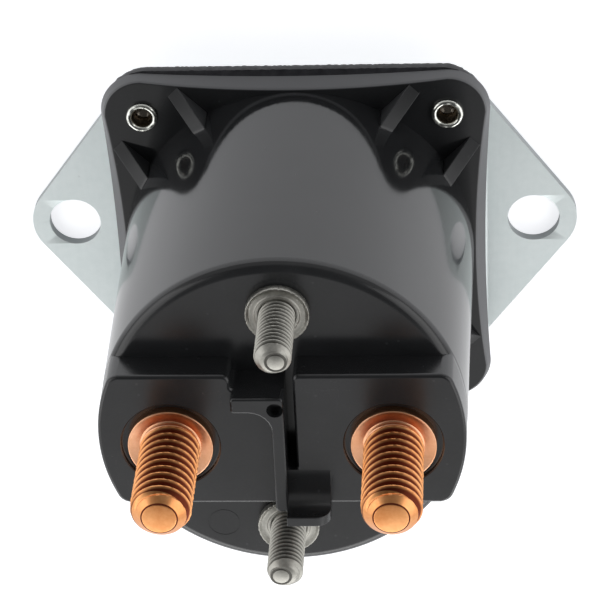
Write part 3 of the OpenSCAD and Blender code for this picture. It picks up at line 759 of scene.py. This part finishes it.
# Faces that turn sideways, the plate's edges, get a darker grey colour.
sheared = ramp(tree, calculate(tree, "ABSOLUTE", facing["Z"]), 0.55, 0.25)
plating = tint(tree, tone, (0.74, 0.815, 0.815), (0.89, 0.955, 0.955))
speckled = tint(tree, calculate(tree, "MULTIPLY", wear["Speck"], 0.5), plating, (0.45, 0.47, 0.47))
edged = tint(tree, calculate(tree, "MULTIPLY", sheared, 0.8), speckled, (0.30, 0.32, 0.33))
coat(tree, shader, edged, 0.50, (tone, -0.14), (wear["Scratch"], -0.12))
bump(tree, shader, with_shares(tree, rolling.outputs["Fac"], (wear["Scratch"], -0.5)), 0.12, 0.03 * mm)
plate.data.materials.append(zinc)
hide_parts("mounting_plate")
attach(plate, "relay_base")


# Gasket
# A flat black sheet, cut out with a steel rule and clamped by the rivets between the plate and the flange. Its cut
# edge is rough and a little wavy.
gasket_low, gasket_high = box_of("gasket")
gasket_corner = 6.1
cut_roughness = 0.13


def ragged(loop, z, inward):
    """A plan loop whose points wander in and out along their own direction from the middle."""
    ring = []
    for x, y in loop:
        point = Vector((x, y, 0))
        wander = noise.noise(Vector((x * 1.9, y * 1.9, z * 2.3 + 3)))
        wander += 0.55 * noise.noise(Vector((x * 5.5, y * 5.5, z * 4.1 + 12)))
        pull = cut_roughness * (wander - 0.75) - inward
        ring.append(tuple((point + point.normalized() * pull).xy))
    return ring


def dense(loop, spacing):
    """A closed plan loop with extra points, about spacing mm apart."""
    made = []
    for here, there in zip(loop, loop[1:] + loop[:1]):
        count = max(1, round(math.dist(here, there) / spacing))
        made += [
            (here[0] + (there[0] - here[0]) * k / count, here[1] + (there[1] - here[1]) * k / count)
            for k in range(count)
        ]
    return made


gasket_plan = []
for turn, (side_x, side_y) in zip((0, 90, 180, 270), ((1, 1), (-1, 1), (-1, -1), (1, -1))):
    centre = (side_x * (gasket_high.x - gasket_corner), side_y * (gasket_high.y - gasket_corner))
    gasket_plan += arc(centre, gasket_corner, turn, turn + 90, 24)
gasket_plan = dense(gasket_plan, 0.3)

# The edge goes up in four rings, each drawn in by its own amount. The first and the last carry the flat faces.
gasket_bm = bmesh.new()
outer_rings = []
opening_rings = []
for share, inward in ((0.0, 0.06), (0.3, 0.0), (0.65, 0.02), (1.0, 0.09)):
    z = gasket_low.z + (gasket_high.z - gasket_low.z) * share
    ring = ragged(gasket_plan, z, inward)
    if share in (0.0, 1.0):
        outer, *openings = fill_plan(gasket_bm, [ring, circle((0, 0), bore_r, 96)] + rivet_loops, z)
        opening_rings.append(openings)
    else:
        outer = [gasket_bm.verts.new((x, y, z)) for x, y in ring]
    outer_rings.append(outer)
for low, high in [*zip(outer_rings, outer_rings[1:]), *zip(*opening_rings)]:
    band(gasket_bm, low, high)
bmesh.ops.recalc_face_normals(gasket_bm, faces=gasket_bm.faces)
gasket = shade(put(gasket_bm, "gasket_sheet"), 50)

sheet, tree, shader = finish_named("gasket_sheet_black", IOR=1.5, Specular_IOR_Level=0.35)
fibres = placed(tree, cloud, Scale=900, Grain_Scale=4200)["Value"]
coat(tree, shader, tint(tree, fibres, (0.018, 0.018, 0.021), (0.040, 0.040, 0.045)), 0.34, (fibres, 0.16))
bump(tree, shader, fibres, 0.35, 0.05 * mm)
gasket.data.materials.append(sheet)
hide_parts("gasket")
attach(gasket, "relay_base")


# Rivets
# Four tubular steel rivets, headed under the plate and rolled over on the flange. The rolled lip is bright, with small
# dents from the tool, and its bore stays open.
rivet_low, rivet_high = box_of("rivets")
lip_r = 2.27
lip_tube = 0.40
lip_z = rivet_high.z - lip_tube
shank_r = 1.6
rivet_bore = 1.22
head_r = 2.6
head_round = 0.5
rivet_profile = [
    (0, rivet_low.z),
    *arc((head_r - head_round, rivet_low.z + head_round), head_round, -90, 0, 5),
    (head_r, plate_raise - 0.08),
    (head_r - 0.08, plate_raise),
    (shank_r, plate_raise),
    (shank_r, flange_top),
    (lip_r - lip_tube, flange_top),
    *arc((lip_r - lip_tube, lip_z), lip_tube, -70, 170, 14),
    (1.45, lip_z - 0.15),
    (1.36, lip_z - 0.50),
    (rivet_bore, lip_z - 0.95),
    (rivet_bore, lip_z - 2.4),
    (0.6, lip_z - 2.8),
    (0, lip_z - 2.9),
]
rivet_bm = revolve(rivet_profile, 96)
for v in rivet_bm.verts:
    if v.co.z > flange_top + 0.02:
        angle = math.atan2(v.co.y, v.co.x)
        dent = 0.03 * math.sin(5 * angle + 0.6) * math.sin(2 * angle) + 0.012 * math.sin(11 * angle)
        v.co.z += dent * (v.co.z - flange_top) / lip_tube * 0.6
        v.co.xy *= 1 + 0.35 * dent / lip_r
rivet_pattern = shade(put(rivet_bm, "rivet_pattern"), 40)


def form_tree(name, lengths, **others):
    """An empty Geometry Nodes tree with named inputs for its sizes and its material, and those inputs."""
    made = bpy.data.node_groups.new(name, "GeometryNodeTree")
    for socket_name, kind in {**dict.fromkeys(lengths, "Float"), **others, "Material": "Material"}.items():
        made.interface.new_socket(socket_name, in_out="INPUT", socket_type="NodeSocket" + kind)
    made.interface.new_socket("Geometry", in_out="OUTPUT", socket_type="NodeSocketGeometry")
    return made, add_node(made, "NodeGroupInput").outputs


def end_form(tree, shape, material):
    """Ends a Geometry Nodes tree in real geometry with its material."""
    real = add_node(tree, "GeometryNodeRealizeInstances", {"Geometry": shape})
    finished = add_node(tree, "GeometryNodeSetMaterial", {"Geometry": real.outputs[0], "Material": material})
    add_node(tree, "NodeGroupOutput", {"Geometry": finished.outputs[0]})


def grow(name, node_group, **values):
    """A piece made by a Geometry Nodes tree, baked to a plain mesh."""
    made = bpy.data.objects.new(name, bpy.data.meshes.new(name))
    scene.collection.objects.link(made)
    modifier = made.modifiers.new("form", "NODES")
    modifier.node_group = node_group
    for item in node_group.interface.items_tree:
        key = item.name.replace(" ", "_")
        if item.item_type == "SOCKET" and item.in_out == "INPUT" and key in values:
            modifier[item.identifier] = values[key]
    return settle(made)


# A grid of four points carries the four rivets, and each is turned a little differently.
rivet_nodes, sizes = form_tree("rivets_on_a_square", ["Pitch"], Rivet="Object")
corners = add_node(
    rivet_nodes, "GeometryNodeMeshGrid",
    {"Size X": sizes["Pitch"], "Size Y": sizes["Pitch"], "Vertices X": 2, "Vertices Y": 2},
)
one_rivet = add_node(rivet_nodes, "GeometryNodeObjectInfo", {"Object": sizes["Rivet"]})
number = add_node(rivet_nodes, "GeometryNodeInputIndex")
spin = add_node(rivet_nodes, "ShaderNodeCombineXYZ", {"Z": calculate(rivet_nodes, "MULTIPLY", number.outputs[0], 2.2)})
turned = add_node(rivet_nodes, "FunctionNodeEulerToRotation", {0: spin.outputs[0]})
standing = add_node(
    rivet_nodes, "GeometryNodeInstanceOnPoints",
    {"Points": corners.outputs["Mesh"], "Instance": one_rivet.outputs["Geometry"], "Rotation": turned.outputs[0]},
)
end_form(rivet_nodes, standing.outputs[0], sizes["Material"])

plated, tree, shader = finish_named("plated_rivet_steel", Metallic=1.0)
clouding = placed(tree, cloud, Scale=500, Grain_Scale=3500)["Value"]
at = axes_of(tree, object_place(tree))
off_rivet = [
    calculate(tree, "SUBTRACT", calculate(tree, "ABSOLUTE", at[key]), rivet_half * mm) for key in ("X", "Y")
]
# Painted shade: inside the open bore the colour turns dark brown.
shaded_bore = ramp(tree, away_from(tree, *off_rivet), 1.56 * mm, 1.38 * mm)
bright = tint(tree, clouding, (0.66, 0.67, 0.62), (0.86, 0.87, 0.82))
coat(tree, shader, tint(tree, shaded_bore, bright, (0.36, 0.32, 0.27)), 0.30, (clouding, -0.10))
bump(tree, shader, clouding, 0.06, 0.04 * mm)
rivets = grow("rivets_set", rivet_nodes, Pitch=2 * rivet_half * mm, Rivet=rivet_pattern, Material=plated)
bpy.data.objects.remove(rivet_pattern)
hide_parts("rivets")
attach(rivets, "relay_base")


# Power studs
# Two copper studs, moulded into the block. Each has a dished collar in a shallow recess, a rolled coarse thread, a
# plain end with a turned chamfer, and a wide flat head inside the cup, which is the fixed contact.
def on_circle(tree, radius, angle, height):
    """A place at an angle round Z, from its radius and its height."""
    x = calculate(tree, "MULTIPLY", radius, calculate(tree, "COSINE", angle))
    y = calculate(tree, "MULTIPLY", radius, calculate(tree, "SINE", angle))
    return add_node(tree, "ShaderNodeCombineXYZ", {"X": x, "Y": y, "Z": height}).outputs[0]


# A thread is a cylinder whose points are drawn in near the valley of a right-handed helix. The cut fades out over
# the run-out at the foot, and a cone limits the radius at the tip. Points on the axis stay there.
threaded, sizes = form_tree(
    "rolled_thread", ["Radius", "Pitch", "Length", "Depth", "Tip Radius", "Chamfer", "Base", "Runout"], Steps="Int"
)
blank = add_node(
    threaded, "GeometryNodeMeshCylinder",
    {"Vertices": 96, "Side Segments": sizes["Steps"], "Radius": sizes["Radius"], "Depth": sizes["Length"]},
    fill_type="TRIANGLE_FAN",
)
at = axes_of(threaded, add_node(threaded, "GeometryNodeInputPosition").outputs[0])
up = with_shares(threaded, at["Z"], (sizes["Length"], 0.5))
angle = calculate(threaded, "ARCTAN2", at["Y"], at["X"])
turns = calculate(threaded, "DIVIDE", angle, math.tau)
climb = calculate(threaded, "SUBTRACT", calculate(threaded, "DIVIDE", up, sizes["Pitch"]), turns)
phase = calculate(threaded, "FRACT", calculate(threaded, "ADD", climb, 8.0))
off_valley = calculate(threaded, "ABSOLUTE", calculate(threaded, "SUBTRACT", phase, 0.5))
flank = ramp(threaded, off_valley, 0.09, 0.44, 1.0, 0.0, "LINEAR")
fade = ramp(threaded, up, 0.0, sizes["Runout"], kind="LINEAR")
cut = calculate(threaded, "MULTIPLY", calculate(threaded, "MULTIPLY", flank, fade), sizes["Depth"])
wall = calculate(threaded, "SUBTRACT", sizes["Radius"], cut)
to_tip = calculate(threaded, "SUBTRACT", sizes["Length"], up)
cone = with_shares(threaded, sizes["Tip Radius"], (to_tip, sizes["Chamfer"]))
plan_reach = calculate(threaded, "ADD", *[calculate(threaded, "ABSOLUTE", at[key]) for key in ("X", "Y")])
off_axis = calculate(threaded, "GREATER_THAN", plan_reach, 1e-6)
radius = calculate(threaded, "MULTIPLY", calculate(threaded, "MINIMUM", wall, cone), off_axis)
rolled_place = on_circle(threaded, radius, angle, calculate(threaded, "ADD", up, sizes["Base"]))
formed = add_node(threaded, "GeometryNodeSetPosition", {"Geometry": blank.outputs["Mesh"], "Position": rolled_place})
end_form(threaded, formed.outputs[0], sizes["Material"])

# Copper: bright on crests and edges, and duller in the thread's valleys, which with the groove round the end are
# painted dark brown as painted shade. The collar is cleaner and pinker than the handled thread above it.
copper, tree, shader = finish_named("rolled_copper", Metallic=1.0)
stain = placed(tree, cloud, Scale=260, Grain_Scale=2400)["Value"]
depth = add_node(tree, "ShaderNodeAttribute", attribute_name="valley", attribute_type="GEOMETRY").outputs["Fac"]
wear = placed(tree, marks, Scale=120, Amount=0.5, Speck_Scale=1200)
at = axes_of(tree, object_place(tree))
on_collar = ramp(tree, at["Z"], (block_z + 0.75) * mm, (block_z + 0.55) * mm)
bright = tint(tree, stain, (0.76, 0.29, 0.095), (0.92, 0.45, 0.19))
clean = tint(tree, stain, (0.78, 0.37, 0.19), (0.93, 0.52, 0.32))
# Painted shade: dark brown in the thread's valleys and the groove round the end.
valley_shaded = tint(tree, ramp(tree, depth, 0.0, 0.42), bright, (0.13, 0.028, 0.014))
coat(tree, shader, tint(tree, on_collar, valley_shaded, clean), 0.28, (stain, 0.10), (depth, 0.15))
bump(tree, shader, calculate(tree, "SUBTRACT", stain, wear["Scratch"]), 0.15, 0.04 * mm)


def note_valleys(piece, axis, crest, thread_depth, low, high, end_axis, end_ring):
    """Stores how deep each point lies in the thread, 0 at the crest and 1 in a valley or the groove round the end."""
    layer = piece.data.attributes.new("valley", "FLOAT", "POINT")
    values = []
    for v in piece.data.vertices:
        x, y, z = v.co / mm
        if low < z < high:
            values.append(min(1, max(0, (crest - math.dist((x, y), axis)) / thread_depth)))
        else:
            off_end = math.dist((x, y), end_axis)
            values.append(1.0 if z > high and end_ring[0] < off_end < end_ring[1] else 0.0)
    layer.data.foreach_set("value", values)


def join_pieces(name, pieces, finish):
    """One object from several closed solids, all in one finish."""
    bm = bmesh.new()
    for piece in pieces:
        bm.from_mesh(piece.data)
    for face in bm.faces:
        face.material_index = 0
    mesh = bpy.data.meshes.new(name)
    bm.to_mesh(mesh)
    bm.free()
    mesh.materials.append(finish)
    for piece in pieces:
        bpy.data.objects.remove(piece)
    made = bpy.data.objects.new(name, mesh)
    scene.collection.objects.link(made)
    return made


power_r = 3.97
power_pitch = 1.411
power_depth = 0.86
power_tip_r = 2.36
power_face_r = 2.24
power_groove = (2.23, 2.4)
power_head_r = 5.8
power_neck_r = 3.5
collar_r = 5.65
collar_top = block_z + 0.45
power_thread_z = block_z + 0.05
power_end_profile = [
    (0, power_high.z - 0.4), (power_face_r, power_high.z - 0.4), (power_face_r, power_high.z - 0.08),
    (power_face_r - 0.04, power_high.z - 0.03), (power_face_r - 0.14, power_high.z - 0.01), (0, power_high.z),
]
collar_profile = [
    (0, recess_floor), (collar_r, recess_floor), (collar_r, block_z - 0.4), (collar_r, collar_top - 0.12),
    (collar_r - 0.05, collar_top - 0.03), (collar_r - 0.14, collar_top), (collar_r - 0.3, collar_top - 0.03),
    (power_r + 0.5, block_z + 0.20), (power_r + 0.12, block_z + 0.18), (power_r + 0.02, block_z + 0.3),
    (power_r - 0.3, block_z + 0.35), (0, block_z + 0.35),
]
power_head_profile = [
    (0, power_low.z), (power_head_r - 0.2, power_low.z), (power_head_r, power_low.z + 0.2),
    (power_head_r, ceiling_z - 0.2), (power_head_r - 0.1, ceiling_z), (power_neck_r, ceiling_z),
    (power_neck_r, block_z - 0.4), (0, block_z - 0.4),
]
for name, side in (("power_stud_left", -1), ("power_stud_right", 1)):
    stud_axis = (side * power_x, power_y)
    thread = grow(
        name + "_thread", threaded, Radius=power_r * mm, Pitch=power_pitch * mm,
        Length=(power_high.z - 0.1 - power_thread_z) * mm, Depth=power_depth * mm, Tip_Radius=power_tip_r * mm,
        Chamfer=1.0, Base=power_thread_z * mm, Runout=0.8 * mm, Steps=260, Material=copper,
    )
    end_face = put(revolve(power_end_profile, 96), "end_face")
    collar = put(revolve(collar_profile, 160), "collar")
    head = put(revolve(power_head_profile, 96), "head")
    stud = join_pieces(name + "_copper", [thread, end_face, collar, head], copper)
    stud.data.transform(Matrix.Translation(Vector((*stud_axis, 0)) * mm))
    note_valleys(
        stud, stud_axis, power_r, power_depth, collar_top, power_high.z - 1.4, stud_axis, power_groove
    )
    shade(stud, 45)
    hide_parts(name)
    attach(stud, "relay_base")


# Control studs
# Two grey plated steel studs with a fine thread, moulded into the terminal face, and a flat head inside the cup that
# each coil lead is joined to. The cut-off end keeps a small nib.
steel, tree, shader = finish_named("grey_plated_steel", Metallic=1.0)
stain = placed(tree, cloud, Scale=420, Grain_Scale=3000)["Value"]
depth = add_node(tree, "ShaderNodeAttribute", attribute_name="valley", attribute_type="GEOMETRY").outputs["Fac"]
bright = tint(tree, stain, (0.32, 0.314, 0.286), (0.50, 0.49, 0.45))
# Painted shade: dark in the thread's valleys and the groove round the nib.
valley_shaded = tint(tree, ramp(tree, depth, 0.0, 0.6, 0.0, 0.86), bright, (0.075, 0.072, 0.065))
coat(tree, shader, valley_shaded, 0.40, (stain, 0.12))
bump(tree, shader, stain, 0.25, 0.04 * mm)

control_low, control_high = box_of("control_stud_rear")
washer_top = box_of("control_washers")[1].z
control_r = 2.415
control_pitch = 0.794
control_depth = 0.46
control_tip_r = 1.55
control_groove = (1.12, 1.42)
control_head_r = 3.5
control_neck_r = 2.15
control_y = control_high.y - control_head_r
nib_profile = [
    (0, control_high.z - 0.6), (control_tip_r, control_high.z - 0.6), (control_tip_r - 0.05, control_high.z - 0.11),
    (1.34, control_high.z - 0.09), (1.18, control_high.z - 0.11), (1.14, control_high.z - 0.04),
    (1.06, control_high.z), (0, control_high.z),
]
control_head_profile = [
    (0, control_low.z), (control_head_r - 0.1, control_low.z), (control_head_r, control_low.z + 0.1),
    (control_head_r, ceiling_z - 0.1), (control_head_r - 0.1, ceiling_z), (control_neck_r, ceiling_z),
    (control_neck_r, washer_top - 0.4), (0, washer_top - 0.4),
]
for name, side in (("control_stud_front", -1), ("control_stud_rear", 1)):
    thread = grow(
        name + "_thread", threaded, Radius=control_r * mm, Pitch=control_pitch * mm,
        Length=(control_high.z - washer_top + 0.38) * mm, Depth=control_depth * mm, Tip_Radius=control_tip_r * mm,
        Chamfer=1.1, Base=(washer_top - 0.5) * mm, Runout=0.6 * mm, Steps=250, Material=steel,
    )
    nib_x, nib_y = 0.45 * side, 0.1
    nib = put(revolve(nib_profile, 48), "nib", (nib_x, nib_y))
    head = put(revolve(control_head_profile, 72), "head")
    stud = join_pieces(name + "_steel", [thread, nib, head], steel)
    stud.data.transform(Matrix.Translation(Vector((0, side * control_y, 0)) * mm))
    note_valleys(
        stud, (0, side * control_y), control_r, control_depth, washer_top, control_high.z - 1.1,
        (nib_x, side * control_y + nib_y), control_groove,
    )
    shade(stud, 45)
    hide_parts(name)
    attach(stud, "relay_base")


# Control washers
# A plated steel washer grips each control stud on the terminal face. It is dished, with a raised rim that is notched
# all round and a low shoulder ring around the thread.
washer_r = 4.2
shoulder_r = 2.95
washer_profile = [
    (control_r + 0.03, face_z), (washer_r - 0.45, face_z), (washer_r - 0.08, face_z + 0.35), (washer_r, face_z + 0.5),
    (washer_r, washer_top - 0.14), (washer_r - 0.05, washer_top - 0.03), (washer_r - 0.13, washer_top),
    (washer_r - 0.24, washer_top - 0.05), (washer_r - 0.42, washer_top - 0.30), (washer_r - 0.6, washer_top - 0.36),
    (shoulder_r + 0.15, washer_top - 0.40), (shoulder_r, washer_top - 0.33), (shoulder_r - 0.1, washer_top - 0.12),
    (shoulder_r - 0.2, washer_top - 0.08), (control_r + 0.12, washer_top - 0.10), (control_r + 0.03, washer_top - 0.2),
]
notch_count = 30
washers = []
for side in (-1, 1):
    washer_bm = revolve(washer_profile, notch_count * 8, closed=True)
    for v in washer_bm.verts:
        away = v.co.xy.length
        if away > washer_r - 0.55 and v.co.z > face_z + 0.4:
            angle = math.atan2(v.co.y, v.co.x)
            tooth = max(0.0, math.cos(notch_count * angle)) ** 3
            wander = 0.6 + 0.8 * noise.noise(Vector((math.cos(angle) * 2, math.sin(angle) * 2, side * 4)))
            v.co.xy *= 1 - 0.10 * tooth * wander / away
            v.co.z -= 0.07 * tooth * wander
    washers.append(put(washer_bm, "washer", (0, side * control_y)))
washers = shade(join_pieces("control_washers_steel", washers, steel), 40)
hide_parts("control_washers")
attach(washers, "relay_base")


# Springs
# The return spring sits in the plunger's and the core's pockets and pushes the plunger back. The contact spring presses
# the disc on the fixed contacts. Both are wound from bright round wire, with closed ends.
coil_tree, sizes = form_tree("wound_spring", ["Radius", "Low", "Height", "Turns", "Wire"], Points="Int")
path = add_node(coil_tree, "GeometryNodeCurvePrimitiveLine", {"Start": (0, 0, 0), "End": (0, 0, 1)})
fine = add_node(coil_tree, "GeometryNodeResampleCurve", {"Curve": path.outputs[0], "Count": sizes["Points"]})
along = add_node(coil_tree, "GeometryNodeSplineParameter").outputs["Factor"]
angle = calculate(coil_tree, "MULTIPLY", calculate(coil_tree, "MULTIPLY", along, sizes["Turns"]), math.tau)
first_turn = calculate(coil_tree, "DIVIDE", 1.0, sizes["Turns"])
climb = ramp(coil_tree, along, first_turn, calculate(coil_tree, "SUBTRACT", 1.0, first_turn))
wound_place = on_circle(
    coil_tree, sizes["Radius"], angle, with_shares(coil_tree, sizes["Low"], (climb, sizes["Height"]))
)
bent = add_node(coil_tree, "GeometryNodeSetPosition", {"Geometry": fine.outputs[0], "Position": wound_place})
section = add_node(coil_tree, "GeometryNodeCurvePrimitiveCircle", {"Resolution": 10, "Radius": sizes["Wire"]})
wound = add_node(
    coil_tree, "GeometryNodeCurveToMesh",
    {"Curve": bent.outputs[0], "Profile Curve": section.outputs["Curve"], "Fill Caps": True},
)
smooth = add_node(coil_tree, "GeometryNodeSetShadeSmooth", {"Geometry": wound.outputs[0]})
end_form(coil_tree, smooth.outputs[0], sizes["Material"])

spring_wire, tree, shader = finish_named("bright_spring_wire", Metallic=1.0)
drawn = placed(tree, cloud, Scale=600, Grain_Scale=4000)["Value"]
coat(tree, shader, tint(tree, drawn, (0.42, 0.42, 0.41), (0.66, 0.66, 0.64)), 0.24, (drawn, 0.12))

# Each row: the piece, its turns, its body, how far it is pressed together in mm, and whether its upper end is held.
spring_wire_r = 0.35
springs = (
    ("return_spring", 6, "relay_base", 3.2, True),
    ("contact_spring", 3.6, "plunger_group", 1.1, False),
)
for name, turns_count, body, closing, held_above in springs:
    low, high = box_of(name)
    length = high.z - low.z
    spring = grow(
        name + "_wire", coil_tree, Radius=(high.x - spring_wire_r) * mm, Low=(low.z + spring_wire_r) * mm,
        Height=(length - 2 * spring_wire_r) * mm, Turns=turns_count, Wire=spring_wire_r * mm,
        Points=int(turns_count * 36), Material=spring_wire,
    )
    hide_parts(name)
    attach(spring, body)
    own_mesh(spring)


# Coil winding
# Enamelled copper wire, wound on the bobbin in even layers. The outer layer shows its turns, and the layers under it
# are one solid.
winding_low, winding_high = box_of("coil_winding")
wire_r = 0.28
bobbin_r = 7.9
core_r = winding_high.x - 1.2 * wire_r
layer_turns = int((winding_high.z - winding_low.z) / (2 * wire_r))
enamel, tree, shader = finish_named("enamelled_wire", Metallic=0.35, Coat_Weight=0.8, Coat_Roughness=0.15)
varnish = placed(tree, cloud, Scale=300, Grain_Scale=2600)["Value"]
coat(tree, shader, tint(tree, varnish, (0.30, 0.075, 0.02), (0.46, 0.15, 0.05)), 0.25, (varnish, 0.12))
outer_layer = grow(
    "winding_layer", coil_tree, Radius=(winding_high.x - wire_r) * mm, Low=(winding_low.z + wire_r) * mm,
    Height=(winding_high.z - winding_low.z - 2 * wire_r) * mm, Turns=layer_turns, Wire=wire_r * mm,
    Points=layer_turns * 40, Material=enamel,
)
inner_profile = [
    (bobbin_r, winding_low.z), (core_r, winding_low.z), (core_r, winding_high.z), (bobbin_r, winding_high.z),
]
inner_layers = put(revolve(inner_profile, 96, closed=True), "inner_layers")
winding = shade(join_pieces("coil_winding_wire", [outer_layer, inner_layers], enamel), 60)
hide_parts("coil_winding")
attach(winding, "relay_base")


# Magnet and moving parts inside the cup
# Soft steel yoke, pole plate, core and plunger; a brass guide tube and spring seat; a nylon bobbin; polyester tape; red
# sleeves on the leads; a rubber stop; fibre insulators; and a copper contact disc. The cup hides them all.
def inner_finish(name, dark, light, metal, rough, scale, height):
    """A finish for a hidden piece: two tones, a roughness that follows them and a fine relief."""
    made, tree, shader = finish_named(name, Metallic=metal)
    tone = placed(tree, cloud, Scale=scale, Grain_Scale=scale * 9)
    coat(tree, shader, tint(tree, tone["Value"], dark, light), rough, (tone["Value"], 0.14))
    bump(tree, shader, tone["Grain"], height, 0.04 * mm)
    return made


soft_steel = inner_finish("soft_magnet_steel", (0.33, 0.34, 0.35), (0.50, 0.51, 0.52), 1.0, 0.30, 220, 0.15)
drawn_brass = inner_finish("drawn_brass", (0.60, 0.42, 0.16), (0.78, 0.60, 0.28), 1.0, 0.24, 260, 0.10)
nylon = inner_finish("natural_nylon", (0.66, 0.62, 0.50), (0.78, 0.75, 0.65), 0.0, 0.42, 140, 0.20)
tape = inner_finish("polyester_tape", (0.52, 0.36, 0.06), (0.66, 0.48, 0.12), 0.0, 0.18, 180, 0.10)
sleeve = inner_finish("red_sleeve", (0.36, 0.03, 0.025), (0.48, 0.06, 0.045), 0.0, 0.48, 300, 0.20)
stop_rubber = inner_finish("stop_rubber", (0.012, 0.012, 0.012), (0.030, 0.030, 0.030), 0.0, 0.62, 500, 0.50)
fibre = inner_finish("pressed_fibre", (0.38, 0.24, 0.11), (0.54, 0.38, 0.20), 0.0, 0.60, 420, 0.55)
disc_copper = inner_finish("contact_disc_copper", (0.68, 0.29, 0.13), (0.88, 0.43, 0.22), 1.0, 0.26, 240, 0.15)
inner_pieces = {
    soft_steel: ("yoke_frame", "pole_plate", "pole_core", "plunger", "plunger_rod", "retaining_clip"),
    drawn_brass: ("guide_tube", "spring_seat"),
    nylon: ("bobbin",),
    tape: ("coil_tape",),
    sleeve: ("coil_lead_front", "coil_lead_rear"),
    stop_rubber: ("cushion_disc",),
    fibre: ("insulator_lower", "insulator_upper"),
    disc_copper: ("contact_disc",),
}
for finish, names in inner_pieces.items():
    for name in names:
        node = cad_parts[name]
        node.data.materials.clear()
        node.data.materials.append(finish)
